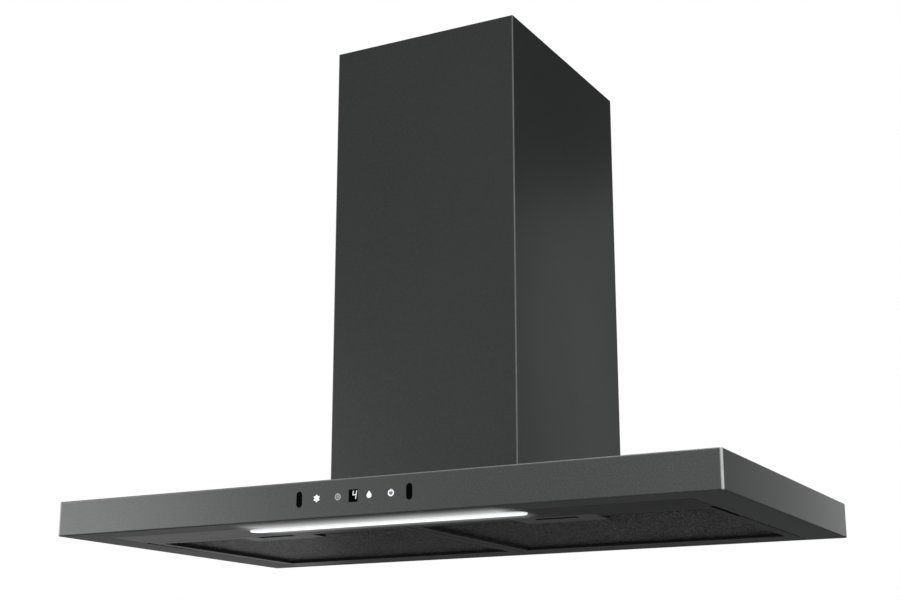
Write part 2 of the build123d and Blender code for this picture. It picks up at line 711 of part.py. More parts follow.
def filter_frame():
    """A folded steel tray with a hemmed window, two hanging tabs and a grip notch outside."""
    wall = FILTER_SHEET
    notch_x = FILTER_OUTER_X - FILTER_NOTCH_DEPTH
    notch_y = FILTER_FRONT + FILTER_NOTCH_LENGTH
    tray = block((FILTER_INNER_X, FILTER_OUTER_X), (FILTER_FRONT, FILTER_REAR), (BOTTOM, FILTER_TOP))
    full_z = (BOTTOM - PAST, FILTER_TOP + PAST)
    tray -= block((notch_x, FILTER_OUTER_X + PAST), (FILTER_FRONT - PAST, notch_y), full_z)
    inside_z = (BOTTOM + wall, FILTER_TOP - wall)
    inside_y = (FILTER_FRONT + wall, FILTER_REAR - wall)
    tray -= block((FILTER_INNER_X + wall, notch_x - wall), inside_y, inside_z)
    tray -= block((notch_x - wall, FILTER_OUTER_X - wall), (notch_y + wall, FILTER_REAR - wall), inside_z)
    window_x = (FILTER_INNER_X + FILTER_BORDER, FILTER_OUTER_X - FILTER_BORDER)
    window_y = (FILTER_FRONT + FILTER_FRONT_BORDER, FILTER_REAR - FILTER_BORDER)
    hem = block(
        (window_x[0] - wall, window_x[1] + wall),
        (window_y[0] - wall, window_y[1] + wall),
        (BOTTOM + wall / 2, MESH_BOTTOM),
    )
    tray += hem
    tray -= block(window_x, window_y, full_z)
    tray -= latch_pocket(SEAT_GAP)
    for middle in (FILTER_INNER_X + TAB_INSET, FILTER_OUTER_X - TAB_INSET):
        tray += block(
            (middle - TAB_WIDTH / 2, middle + TAB_WIDTH / 2),
            (FILTER_REAR - wall / 2, FILTER_REAR + TAB_REACH),
            (TAB_BOTTOM, TAB_BOTTOM + TAB_SHEET),
        )
    return tray


def filter_mesh():
    """The pack of aluminium mesh, seated on the tray's hem."""
    gap = FILTER_SHEET + MESH_CLEARANCE
    pack = block(
        (FILTER_INNER_X + gap, FILTER_OUTER_X - FILTER_NOTCH_DEPTH - gap),
        (FILTER_FRONT + gap, FILTER_REAR - gap),
        (MESH_BOTTOM, FILTER_TOP - FILTER_SHEET),
    )
    return pack - latch_pocket(SEAT_GAP + MESH_CLEARANCE)


def latch_plate():
    """The smooth tray at the middle of the filter's front edge, with the finger slot."""
    half = LATCH_PLATE_LENGTH / 2
    wall = LATCH_SHEET
    top = FILTER_TOP - FILTER_SHEET
    x = (FILTER_CENTRE_X - half, FILTER_CENTRE_X + half)
    plate = block(x, (FILTER_FRONT, LATCH_REAR), (BOTTOM, top))
    plate -= block(
        (x[0] + wall, x[1] - wall), (FILTER_FRONT + wall, LATCH_REAR - wall), (BOTTOM + wall, top + PAST)
    )
    half_slot = FINGER_SLOT_LENGTH / 2
    slot_x = (FILTER_CENTRE_X - half_slot, FILTER_CENTRE_X + half_slot)
    plate -= block(slot_x, (SLOT_FRONT_Y, SLOT_REAR_Y), (BOTTOM - PAST, BOTTOM + wall + PAST))
    tongue_half = TONGUE_WIDTH / 2 + TONGUE_CLEARANCE
    plate -= block(
        (FILTER_CENTRE_X - tongue_half, FILTER_CENTRE_X + tongue_half),
        (FILTER_FRONT - PAST, FILTER_FRONT + wall + PAST),
        (BOTTOM + wall, SLIDER_BOTTOM + SLIDER_SHEET + SEAT_GAP),
    )
    return plate


def latch_slider():
    """The sliding bolt: a frame round the finger slot, with a tongue in front and two lips."""
    half = SLIDER_LENGTH / 2
    z = (SLIDER_BOTTOM, SLIDER_BOTTOM + SLIDER_SHEET)
    lip_z = (SLIDER_BOTTOM, SLIDER_BOTTOM + SLIDER_SHEET + SLIDER_LIP)
    x = (FILTER_CENTRE_X - half, FILTER_CENTRE_X + half)
    window_x = (x[0] + SLIDER_ARM, x[1] - SLIDER_ARM)
    bolt = block(x, (SLIDER_FRONT, SLIDER_REAR), z)
    bolt -= block(window_x, (SLOT_FRONT_Y + SLIDER_LIP_SHEET, SLOT_REAR_Y), (z[0] - PAST, z[1] + PAST))
    tongue_half = TONGUE_WIDTH / 2
    bolt += block(
        (FILTER_CENTRE_X - tongue_half, FILTER_CENTRE_X + tongue_half),
        (FILTER_BAY_FRONT - TONGUE_OVERLAP, SLIDER_FRONT),
        z,
    )
    bolt += block(window_x, (SLOT_REAR_Y, SLOT_REAR_Y + SLIDER_LIP_SHEET), lip_z)
    bolt += block(x, (SLIDER_REAR - SLIDER_LIP_SHEET, SLIDER_REAR), lip_z)
    return bolt


def latch_spring():
    """A wave spring of flat strip between the bolt and the plate's rear wall."""
    front = SLIDER_REAR + SPRING_END_GAP + SPRING_STRIP
    rear = LATCH_REAR - LATCH_SHEET - SPRING_END_GAP - SPRING_STRIP
    half = SLIDER_LENGTH / 2 - 2 * SLIDER_ARM
    step = 2 * half / SPRING_WAVES
    crests = []
    for number in range(SPRING_WAVES + 1):
        x = FILTER_CENTRE_X - half + number * step
        crests.append((x, front if number % 2 == 0 else rear))
    near = [(x, y - SPRING_STRIP) for x, y in crests]
    far = [(x, y + SPRING_STRIP) for x, y in reversed(crests)]
    strip = make_face(Polyline(*near, *far, close=True))
    low = SLIDER_BOTTOM + SLIDER_SHEET + SLIDER_LIP - SPRING_HEIGHT
    return Pos(0, 0, low) * extrude(strip, SPRING_HEIGHT)


# ------------------------------------------------------------------ tower pieces
def tower_screw_places():
    x = TOWER_X - TOWER_FLANGE / 2
    pitch = (INTAKE_REAR - INTAKE_FRONT) / TOWER_SCREW_ROWS
    rows = [INTAKE_FRONT + (number + 0.5) * pitch for number in range(TOWER_SCREW_ROWS)]
    return [(side * x, y) for side in (-1, 1) for y in rows]


def blower_tower():
    """The folded back and sides that hang on the wall and carry blower and canopy."""
    sheet = TOWER_SHEET
    height = (CANOPY_TOP, TOWER_TOP)
    tower = block((-TOWER_X, TOWER_X), (-TOWER_DEPTH, 0), height)
    tower -= block(
        (-TOWER_X + sheet, TOWER_X - sheet),
        (-TOWER_DEPTH - PAST, -sheet),
        (height[0] - PAST, height[1] + PAST),
    )
    flange = block((INTAKE_X, TOWER_X), (-TOWER_DEPTH, 0), (CANOPY_TOP, CANOPY_TOP + sheet))
    tower += both_sides(flange)
    tower += block((-TOWER_X, TOWER_X), (INTAKE_REAR, 0), (CANOPY_TOP, CANOPY_TOP + sheet))
    for x in (-WALL_HOLE_SPACING_X / 2, WALL_HOLE_SPACING_X / 2):
        for z in (-WALL_HOLE_SPACING_Z / 2, WALL_HOLE_SPACING_Z / 2):
            tower -= rod("y", (x, 0, z), WALL_HOLE_RADIUS, -sheet - PAST, PAST)
    for x, y in tower_screw_places():
        hole = TOWER_SCREW_RADIUS + SCREW_CLEARANCE
        tower -= rod("z", (x, y, 0), hole, CANOPY_TOP - PAST, CANOPY_TOP + sheet + PAST)
    return tower


def tower_front_panel():
    """The removable front, folded back a little way over both sides."""
    sheet = TOWER_SHEET
    inner_x = TOWER_X + TOWER_PANEL_GAP
    outer_x = inner_x + sheet
    face = -TOWER_DEPTH - sheet
    height = (CANOPY_TOP, TOWER_TOP)
    panel = block((-outer_x, outer_x), (face, -TOWER_DEPTH + TOWER_RETURN), height)
    panel -= block(
        (-inner_x, inner_x),
        (-TOWER_DEPTH, -TOWER_DEPTH + TOWER_RETURN + PAST),
        (height[0] - PAST, height[1] + PAST),
    )
    panel += block(
        (-outer_x, outer_x),
        (face - PANEL_FOOT, face + sheet / 2),
        (CANOPY_TOP, CANOPY_TOP + sheet),
    )
    return panel


def tower_top_plate():
    plate = block((-TOWER_X, TOWER_X), (-TOWER_DEPTH, 0), (TOWER_TOP, TOP_PLATE_TOP))
    through = (TOWER_TOP - PAST, TOP_PLATE_TOP + PAST)
    plate -= rod("z", (0, OUTLET_Y, 0), OUTLET_RADIUS - OUTLET_WALL, *through)
    plate -= rod("z", (GLAND_X, -GLAND_FROM_WALL, 0), GLAND_BORE_RADIUS, *through)
    return plate


def tower_screws():
    screws = []
    for x, y in tower_screw_places():
        seat = CANOPY_TOP + TOWER_SHEET
        tip = CANOPY_CEILING - BASE_RING_THICKNESS - SCREW_TIP
        shank = rod("z", (x, y, 0), TOWER_SCREW_RADIUS, tip, seat)
        head = rod("z", (x, y, 0), TOWER_SCREW_HEAD_RADIUS, seat, seat + TOWER_SCREW_HEAD)
        head = fillet(head.edges().group_by(Axis.Z)[-1], TOWER_SCREW_HEAD / 3)
        screws.append(shank + head)
    return group(screws)


# ------------------------------------------------------------------ blower pieces
def scroll(outward):
    """The blower's section: three quarter arcs that grow by one step each, and a duct going up."""
    step = VOLUTE_STEP
    grown = [VOLUTE_BASE_RADIUS + number * step + outward for number in range(3)]
    first = (step / 2, -step / 2)
    second = (-step / 2, -step / 2)
    third = (-step / 2, step / 2)
    top = (DUCT_REAR + outward, VOLUTE_TOP - BLOWER_Z)
    cutoff = (DUCT_REAR + outward, first[1] + math.sqrt(grown[0] ** 2 - outward**2))
    rear = (first[0] + grown[0], first[1])
    under = (second[0], second[1] - grown[1])
    front = (third[0] - grown[2], third[1])
    front_top = (front[0], VOLUTE_TOP - BLOWER_Z)
    half_turn = math.sqrt(0.5)
    middles = [
        (first[0] + grown[0] * half_turn, first[1] + grown[0] * half_turn),
        (second[0] + grown[1] * half_turn, second[1] - grown[1] * half_turn),
        (third[0] - grown[2] * half_turn, third[1] - grown[2] * half_turn),
    ]
    outline = (
        Polyline(front, front_top, top, cutoff)
        + ThreePointArc(cutoff, middles[0], rear)
        + ThreePointArc(rear, middles[1], under)
        + ThreePointArc(under, middles[2], front)
    )
    return make_face(outline)


def scroll_bar(outward, low, high):
    """That section as a solid between two places on X."""
    plane = Plane((low, BLOWER_Y, BLOWER_Z), x_dir=(0, 1, 0), z_dir=(1, 0, 0))
    return extrude(plane * scroll(outward), high - low)


def volute_wrap():
    """The blower's curved band, with a flange round its outlet."""
    wrap = scroll_bar(VOLUTE_SHEET, -VOLUTE_X, VOLUTE_X) - scroll_bar(0, -VOLUTE_X - PAST, VOLUTE_X + PAST)
    duct_front = BLOWER_Y + DUCT_FRONT
    duct_rear = BLOWER_Y + DUCT_REAR
    flange = block(
        (-VOLUTE_X, VOLUTE_X),
        (duct_front - VOLUTE_FLANGE, duct_rear + VOLUTE_FLANGE),
        (VOLUTE_TOP - VOLUTE_SHEET, VOLUTE_TOP),
    )
    flange -= block(
        (-VOLUTE_X - PAST, VOLUTE_X + PAST),
        (duct_front, duct_rear),
        (VOLUTE_TOP - VOLUTE_SHEET - PAST, VOLUTE_TOP + PAST),
    )
    return wrap + flange


def volute_side(side):
    """One flat cheek of the blower, with its round inlet."""
    plate = scroll_bar(VOLUTE_SHEET, VOLUTE_X, SIDE_PLATE_X)
    plate -= rod("x", (0, BLOWER_Y, BLOWER_Z), INLET_RADIUS, VOLUTE_X - PAST, SIDE_PLATE_X + PAST)
    return plate if side > 0 else mirrored(plate)


def inlet_bell(side):
    """The rolled ring that leads air into the impeller."""
    flange = rod("x", (0, BLOWER_Y, BLOWER_Z), BELL_FLANGE_RADIUS, SIDE_PLATE_X, BELL_FACE_X)
    throat_x = BELL_FACE_X - BELL_DEPTH
    outer = BELL_THROAT_RADIUS + BELL_SHEET
    flange += rod("x", (0, BLOWER_Y, BLOWER_Z), outer, throat_x, BELL_FACE_X)
    flange -= rod("x", (0, BLOWER_Y, BLOWER_Z), BELL_THROAT_RADIUS, throat_x - PAST, BELL_FACE_X + PAST)
    return flange if side > 0 else mirrored(flange)


def blower_motor():
    """The motor's round case inside the impeller, with a boss behind it and a bore for the shaft."""
    centre = (0, BLOWER_Y, BLOWER_Z)
    case = rod("x", centre, MOTOR_RADIUS, MOTOR_REAR_X, MOTOR_FRONT_X)
    case = fillet(case.edges().filter_by(GeomType.CIRCLE), MOTOR_EDGE_RADIUS)
    case += rod("x", centre, MOTOR_BOSS_RADIUS, -BELL_FACE_X, MOTOR_REAR_X + PAST)
    bore = SHAFT_RADIUS + SHAFT_RUNNING_FIT
    return case - rod("x", centre, bore, -BELL_FACE_X - PAST, MOTOR_FRONT_X + PAST)


def motor_bracket():
    """A flat spider across the left inlet that carries the motor."""
    centre = (0, BLOWER_Y, BLOWER_Z)
    low = -BELL_FACE_X - MOTOR_BRACKET_SHEET
    high = -BELL_FACE_X
    spider = rod("x", centre, MOTOR_BOSS_RADIUS, low, high)
    for number in range(MOTOR_ARMS):
        arm = block(
            (low, high),
            (-MOTOR_ARM_WIDTH / 2, MOTOR_ARM_WIDTH / 2),
            (0, BELL_FLANGE_RADIUS - MOTOR_ARM_INSET),
        )
        spider += Pos(*centre) * Rot(number * 360 / MOTOR_ARMS, 0, 0) * arm
    return spider


def motor_shaft():
    low = MOTOR_REAR_X - SHAFT_TAIL
    return rod("x", (0, BLOWER_Y, BLOWER_Z), SHAFT_RADIUS, low, HUB_LENGTH / 2 + SHAFT_END)


def impeller():
    """The double drum wheel: a middle disc, a hub, two end rings and the blades."""
    centre = (0, BLOWER_Y, BLOWER_Z)
    wheel = rod("x", centre, IMPELLER_RADIUS, -IMPELLER_DISC / 2, IMPELLER_DISC / 2)
    wheel += rod("x", centre, HUB_RADIUS, HUB_INNER_X, HUB_LENGTH / 2)
    for side in (-1, 1):
        ends = sorted((side * IMPELLER_HALF_WIDTH, side * (IMPELLER_HALF_WIDTH - RING_WIDTH)))
        ring = rod("x", centre, IMPELLER_RADIUS, *ends)
        ring -= rod("x", centre, IMPELLER_RADIUS - BLADE_LENGTH, ends[0] - PAST, ends[1] + PAST)
        wheel += ring
    middle_radius = IMPELLER_RADIUS - BLADE_LENGTH / 2
    strip = Box(2 * IMPELLER_HALF_WIDTH, BLADE_THICKNESS, BLADE_LENGTH - BLADE_INSET)
    blade = Pos(0, 0, middle_radius) * Rot(-BLADE_ANGLE, 0, 0) * strip
    blades = [
        Pos(*centre) * Rot(number * 360 / IMPELLER_BLADES, 0, 0) * blade
        for number in range(IMPELLER_BLADES)
    ]
    wheel = wheel.fuse(*blades)
    bore = SHAFT_RADIUS + SHAFT_PRESS_FIT
    return wheel - rod("x", centre, bore, HUB_INNER_X - PAST, HUB_LENGTH / 2 + PAST)


def run_capacitor():
    """The motor's capacitor, fixed by its end to the tower's left side."""
    inner_x = -TOWER_X + TOWER_SHEET
    centre = (0, -TOWER_DEPTH + CAPACITOR_FROM_FRONT, CANOPY_TOP + CAPACITOR_ABOVE_FLOOR)
    can = rod("x", centre, CAPACITOR_RADIUS, inner_x, inner_x + CAPACITOR_LENGTH)
    return fillet(can.edges().filter_by(GeomType.CIRCLE).group_by(Axis.X)[-1], CAPACITOR_EDGE_RADIUS)


def outlet_gasket():
    """The soft seal between the blower's outlet and the tower's top."""
    duct_front = BLOWER_Y + DUCT_FRONT
    duct_rear = BLOWER_Y + DUCT_REAR
    height = (VOLUTE_TOP, TOWER_TOP)
    seal = block((-VOLUTE_X, VOLUTE_X), (duct_front - GASKET_WIDTH, duct_rear + GASKET_WIDTH), height)
    seal -= block(
        (-VOLUTE_X + GASKET_WIDTH, VOLUTE_X - GASKET_WIDTH),
        (duct_front, duct_rear),
        (height[0] - PAST, height[1] + PAST),
    )
    return seal


def vibration_mounts():
    """Four rubber bushes that hang the blower from the tower's top."""
    duct_front = BLOWER_Y + DUCT_FRONT
    duct_rear = BLOWER_Y + DUCT_REAR
    offset = VOLUTE_FLANGE - MOUNT_RADIUS
    bushes = []
    for x in (-VOLUTE_X + 2 * MOUNT_RADIUS, VOLUTE_X - 2 * MOUNT_RADIUS):
        for y in (duct_front - offset, duct_rear + offset):
            bushes.append(rod("z", (x, y, 0), MOUNT_RADIUS - SEAT_GAP, VOLUTE_TOP, TOWER_TOP))
    return group(bushes)


# ------------------------------------------------------------------ outlet and damper pieces
def outlet_collar():
    """The round duct collar, with a ledge for the damper flaps and holes for their pin."""
    centre = (0, OUTLET_Y, 0)
    inner = OUTLET_RADIUS - OUTLET_WALL
    collar = rod("z", centre, OUTLET_RADIUS, TOP_PLATE_TOP, OUTLET_TOP)
    collar += rod(
        "z", centre, OUTLET_FLANGE_RADIUS, TOP_PLATE_TOP, TOP_PLATE_TOP + OUTLET_FLANGE_THICKNESS
    )
    collar -= rod("z", centre, inner, TOP_PLATE_TOP - PAST, OUTLET_TOP + PAST)
    ledge_top = DAMPER_Z - DAMPER_THICKNESS / 2 - SEAT_GAP
    ledge = rod("z", centre, inner + OUTLET_WALL / 2, ledge_top - DAMPER_LEDGE, ledge_top)
    ledge -= rod("z", centre, inner - DAMPER_LEDGE, ledge_top - DAMPER_LEDGE - PAST, ledge_top + PAST)
    ledge -= block(
        (-OUTLET_RADIUS, OUTLET_RADIUS),
        (OUTLET_Y - KNUCKLE_RADIUS - KNUCKLE_ROOM, OUTLET_Y + KNUCKLE_RADIUS + KNUCKLE_ROOM),
        (ledge_top - DAMPER_LEDGE - PAST, ledge_top + PAST),
    )
    collar += ledge
    pin_hole = DAMPER_PIN_RADIUS + SHAFT_PRESS_FIT
    return collar - rod("x", (0, OUTLET_Y, DAMPER_Z), pin_hole, -OUTLET_RADIUS - PAST, OUTLET_RADIUS + PAST)


def damper_pin():
    return rod("x", (0, OUTLET_Y, DAMPER_Z), DAMPER_PIN_RADIUS, -OUTLET_RADIUS, OUTLET_RADIUS)


def damper_flap(side):
    """A half-round flap with two knuckles on the pin. side is -1 in front and 1 at the rear."""
    radius = OUTLET_RADIUS - OUTLET_WALL - DAMPER_EDGE_GAP
    half = DAMPER_THICKNESS / 2
    flap = rod("z", (0, OUTLET_Y, 0), radius, DAMPER_Z - half, DAMPER_Z + half)
    kept = sorted((OUTLET_Y + side * DAMPER_ROOT_GAP, OUTLET_Y + side * OUTLET_RADIUS))
    flap &= block((-OUTLET_RADIUS, OUTLET_RADIUS), kept, (DAMPER_Z - PAST, DAMPER_Z + PAST))
    first = -2 * KNUCKLE_LENGTH - 1.5 * KNUCKLE_GAP
    for number in range(4):
        if (number % 2 == 0) != (side < 0):
            continue
        low = first + number * (KNUCKLE_LENGTH + KNUCKLE_GAP)
        high = low + KNUCKLE_LENGTH
        flap += rod("x", (0, OUTLET_Y, DAMPER_Z), KNUCKLE_RADIUS, low, high)
        web = sorted((OUTLET_Y, OUTLET_Y + side * (DAMPER_ROOT_GAP + PAST)))
        flap += block((low, high), web, (DAMPER_Z - half, DAMPER_Z + half))
    bore = DAMPER_PIN_RADIUS + SHAFT_RUNNING_FIT
    return flap - rod("x", (0, OUTLET_Y, DAMPER_Z), bore, -OUTLET_RADIUS, OUTLET_RADIUS)


# ------------------------------------------------------------------ electronics pieces
def box_places():
    length, depth, height = BOX_SIZE
    middle_y = FRONT + BOX_FROM_FRONT
    return (
        (BOX_X - length / 2, BOX_X + length / 2),
        (middle_y - depth / 2, middle_y + depth / 2),
        (CANOPY_CEILING - height + LID_THICKNESS, CANOPY_CEILING),
    )


def electronics_box():
    """A plastic box under the canopy's top, open below, with four posts for its board."""
    x, y, z = box_places()
    box = block(x, y, z)
    box -= block(
        (x[0] + BOX_WALL, x[1] - BOX_WALL), (y[0] + BOX_WALL, y[1] - BOX_WALL), (z[0] - PAST, z[1] - BOX_WALL)
    )
    inset = BOX_WALL + BOARD_MARGIN + BOARD_POST_RADIUS
    for post_x in (x[0] + inset, x[1] - inset):
        for post_y in (y[0] + inset, y[1] - inset):
            low = z[1] - BOX_WALL - BOARD_POST_HEIGHT
            box += rod("z", (post_x, post_y, 0), BOARD_POST_RADIUS, low, z[1] - BOX_WALL / 2)
    return box


def electronics_lid():
    x, y, z = box_places()
    return block(x, y, (z[0] - LID_THICKNESS, z[0]))


def power_board():
    x, y, z = box_places()
    margin = BOX_WALL + BOARD_MARGIN
    top = z[1] - BOX_WALL - BOARD_POST_HEIGHT
    return block(
        (x[0] + margin, x[1] - margin), (y[0] + margin, y[1] - margin), (top - BOARD_THICKNESS, top)
    )


def wiring_loom():
    """The wires from the power board's box over the light channel to the driver and controls."""
    low = STRIP_TOP + CHANNEL_HEIGHT + LOOM_RADIUS + SEAT_GAP
    high = CANOPY_CEILING - LOOM_BELOW_CEILING
    start = box_places()[0][1]
    end = DRIVER_X - DRIVER_SIZE[0] / 2
    first = start + LOOM_STRAIGHT
    last = end - LOOM_STRAIGHT
    route = [(start, high), (first, high), (first + LOOM_SLOPE, low)]
    route += [(last - LOOM_SLOPE, low), (last, high), (end, high)]
    path = FilletPolyline(*[(x, LIGHT_Y, z) for x, z in route], radius=LOOM_BEND)
    section = Plane((start, LIGHT_Y, high), z_dir=(1, 0, 0)) * Circle(LOOM_RADIUS)
    loom = sweep(section, path=path)
    tray_back = FASCIA_BACK + CONTROL_BOX_DEPTH
    return loom + rod("y", (LOOM_BRANCH_X, 0, low), LOOM_BRANCH_RADIUS, tray_back, LIGHT_Y)


def cable_gland():
    """The inlet for the mains lead, on the tower's top."""
    centre = (GLAND_X, -GLAND_FROM_WALL, 0)
    body = rod("z", centre, GLAND_RADIUS, TOP_PLATE_TOP, TOP_PLATE_TOP + GLAND_HEIGHT)
    body = fillet(body.edges().group_by(Axis.Z)[-1], GLAND_EDGE_RADIUS)
    return body - rod(
        "z", centre, GLAND_BORE_RADIUS, TOP_PLATE_TOP - PAST, TOP_PLATE_TOP + GLAND_HEIGHT + PAST
    )


# ------------------------------------------------------------------ chimney pieces
def chimney_cover(half_width, front, rear, low, high, corner):
    """A three-sided sheet cover with narrow returns along the wall."""
    sheet = CHIMNEY_SHEET
    height = (low - PAST, high + PAST)
    cover = block((-half_width, half_width), (front, rear), (low, high))
    cover = fold_radius(cover, half_width, front, corner)
    inner_x = half_width - sheet
    inside = block((-inner_x, inner_x), (front + sheet, rear - sheet), height)
    cover -= fold_radius(inside, inner_x, front + sheet, corner - sheet)
    open_x = half_width - CHIMNEY_RETURN
    return cover - block((-open_x, open_x), (rear - sheet - PAST, rear + PAST), height)


def chimney_lower_cover():
    return chimney_cover(
        CHIMNEY_X, -CHIMNEY_DEPTH, 0, CANOPY_TOP, CHIMNEY_TOP, CHIMNEY_CORNER_RADIUS
    )


def cover_screw_place():
    y = UPPER_REAR - BRACKET_ARM - BRACKET_EAR / 2
    z = UPPER_TOP - BRACKET_FROM_TOP - BRACKET_HEIGHT / 2
    return y, z


def chimney_upper_cover():
    cover = chimney_cover(
        UPPER_X, UPPER_FRONT, UPPER_REAR, UPPER_BOTTOM, UPPER_TOP, CHIMNEY_CORNER_RADIUS
    )
    y, z = cover_screw_place()
    return cover - rod("x", (0, y, z), COVER_SCREW_RADIUS + SCREW_CLEARANCE, -UPPER_X - PAST, UPPER_X + PAST)


def chimney_wall_bracket():
    """The strap that holds the upper cover to the wall, with an ear on each side."""
    sheet = BRACKET_SHEET
    half = BRACKET_WIDTH / 2
    high = UPPER_TOP - BRACKET_FROM_TOP
    height = (high - BRACKET_HEIGHT, high)
    arm_front = UPPER_REAR - BRACKET_ARM
    ear_x = UPPER_X - CHIMNEY_SHEET
    strap = block((-half, half), (-sheet, 0), height)
    arm = block((half - sheet, half), (arm_front, 0), height)
    arm += block((half - sheet, ear_x), (arm_front, arm_front + sheet), height)
    arm += block((ear_x - sheet, ear_x), (arm_front - BRACKET_EAR, arm_front + sheet), height)
    y, z = cover_screw_place()
    hole = COVER_SCREW_RADIUS + SCREW_CLEARANCE
    arm -= rod("x", (0, y, z), hole, ear_x - sheet - PAST, ear_x + PAST)
    bracket = strap + arm + mirrored(arm)
    for x in (-BRACKET_HOLE_SPACING / 2, BRACKET_HOLE_SPACING / 2):
        bracket -= rod("y", (x, 0, z), BRACKET_HOLE_RADIUS, -sheet - PAST, PAST)
    return bracket


def cover_screws():
    """Two flush screws that join the upper cover to its bracket."""
    y, z = cover_screw_place()
    inner = UPPER_X - CHIMNEY_SHEET - BRACKET_SHEET - SCREW_TIP
    screw = rod("x", (0, y, z), COVER_SCREW_RADIUS, inner, UPPER_X)
    return group([screw, mirrored(screw)])


def cover_guides():
    """Two angles on the tower's sides that the lowered upper cover stands on."""
    top = UPPER_BOTTOM - SEAT_GAP
    middle_y = -TOWER_DEPTH / 2
    depth = (middle_y - GUIDE_DEPTH / 2, middle_y + GUIDE_DEPTH / 2)
    guide = block((TOWER_X, UPPER_X), depth, (top - GUIDE_SHEET, top))
    guide += block((TOWER_X, TOWER_X + GUIDE_SHEET), depth, (top - GUIDE_LEG, top))
    return group([guide, mirrored(guide)])


# ------------------------------------------------------------------ every piece by name
def pieces():
    made = {
        "canopy_shell": canopy_shell(),
        "underside_frame": underside_frame(),
        "canopy_stiffeners": canopy_stiffeners(),
        "tower_base_ring": tower_base_ring(),
        "chimney_base_collar": chimney_base_collar(),
        "light_lens": light_lens(),
        "light_channel": light_channel(),
        "led_board": led_board(),
        "led_chips": led_chips(),
        "led_driver": led_driver(),
        "control_housing": control_housing(),
        "control_board": control_board(),
        "display_window": display_window(),
        "display_digit": display_digit(),
        "sensor_window_left": sensor_window(-1),
        "sensor_window_right": sensor_window(1),
        "blower_tower": blower_tower(),
        "tower_front_panel": tower_front_panel(),
        "tower_top_plate": tower_top_plate(),
        "tower_screws": tower_screws(),
        "volute_wrap": volute_wrap(),
        "volute_side_left": volute_side(-1),
        "volute_side_right": volute_side(1),
        "inlet_bell_left": inlet_bell(-1),
        "inlet_bell_right": inlet_bell(1),
        "blower_motor": blower_motor(),
        "motor_bracket": motor_bracket(),
        "motor_shaft": motor_shaft(),
        "impeller": impeller(),
        "run_capacitor": run_capacitor(),
        "outlet_gasket": outlet_gasket(),
        "vibration_mounts": vibration_mounts(),
        "outlet_collar": outlet_collar(),
        "damper_pin": damper_pin(),
        "damper_flap_front": damper_flap(-1),
        "damper_flap_rear": damper_flap(1),
        "electronics_box": electronics_box(),
        "electronics_lid": electronics_lid(),
        "power_board": power_board(),
        "wiring_loom": wiring_loom(),
        "cable_gland": cable_gland(),
        "chimney_lower_cover": chimney_lower_cover(),
        "chimney_upper_cover": chimney_upper_cover(),
        "chimney_wall_bracket": chimney_wall_bracket(),
        "cover_screws": cover_screws(),
        "cover_guides": cover_guides(),
    }
    for name, x in icon_places().items():
        made["icon_" + name] = icon_light(x)
    filter_pieces = {
        "filter_frame": filter_frame(),
        "filter_mesh": filter_mesh(),
        "latch_plate": latch_plate(),
        "latch_slider": latch_slider(),
        "latch_spring": latch_spring(),
    }
    for name, right in filter_pieces.items():
        made[name + "_right"] = right
        made[name + "_left"] = mirrored(right)
    return made


os.makedirs("parts", exist_ok=True)
for node, shape in pieces().items():
    export_step(shape, "parts/" + node + ".step")
    print(node, round(shape.volume), "mm3")
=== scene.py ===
# %% [markdown]
# # Dressing a dark steel chimney hood
# The solids of this hood come from its CAD model and stay exactly where they are. This lesson
# gives each of them its finish, adds the small things that sheet metal, mesh and lit glass have,
# and then sets up a studio around the hood.

# %% Load the hood
import json
import math

import bmesh
import bpy
from mathutils import Matrix, Vector


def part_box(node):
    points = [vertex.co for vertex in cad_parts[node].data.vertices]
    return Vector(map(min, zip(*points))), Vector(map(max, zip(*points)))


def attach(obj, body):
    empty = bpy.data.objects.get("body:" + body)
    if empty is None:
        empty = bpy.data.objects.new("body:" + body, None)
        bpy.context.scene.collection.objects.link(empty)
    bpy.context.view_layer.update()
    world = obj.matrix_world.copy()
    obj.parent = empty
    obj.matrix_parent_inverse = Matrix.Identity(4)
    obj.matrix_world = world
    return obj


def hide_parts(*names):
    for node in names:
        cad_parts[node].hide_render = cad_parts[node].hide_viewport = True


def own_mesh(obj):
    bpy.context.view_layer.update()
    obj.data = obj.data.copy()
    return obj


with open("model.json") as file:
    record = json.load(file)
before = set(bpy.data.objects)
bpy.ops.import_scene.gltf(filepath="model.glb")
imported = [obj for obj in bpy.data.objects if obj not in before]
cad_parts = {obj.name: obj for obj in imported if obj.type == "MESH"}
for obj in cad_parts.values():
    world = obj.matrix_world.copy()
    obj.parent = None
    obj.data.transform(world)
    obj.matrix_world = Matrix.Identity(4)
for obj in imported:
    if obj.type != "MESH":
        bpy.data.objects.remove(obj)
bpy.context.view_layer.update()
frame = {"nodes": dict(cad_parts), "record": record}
MM = 0.001

# %% [markdown]
# ## Places to measure from
# Everything added later sits on one of the solids, so its place is read from the solids' own
# boxes. A number is typed in only where the real piece has a size of its own.

# %% Read the main faces
shell_low, shell_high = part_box("canopy_shell")
FRONT_FACE = shell_low.y
UNDERSIDE = shell_low.z
CANOPY_TOP = shell_high.z
print("canopy:", [round(side / MM) for side in shell_high - shell_low], "mm")

# %% [markdown]
# ## A helper for shader node groups
# Brushed grain, a speckled surface and slow changes of tone turn up in many of the finishes here.
# Each could be copied into every material, but a node group keeps one version of it, and each
# material only gives it other values. This helper makes a group with named sockets.

# %% Make an empty group
SOCKETS = {"value": "NodeSocketFloat", "vector": "NodeSocketVector", "color": "NodeSocketColor"}


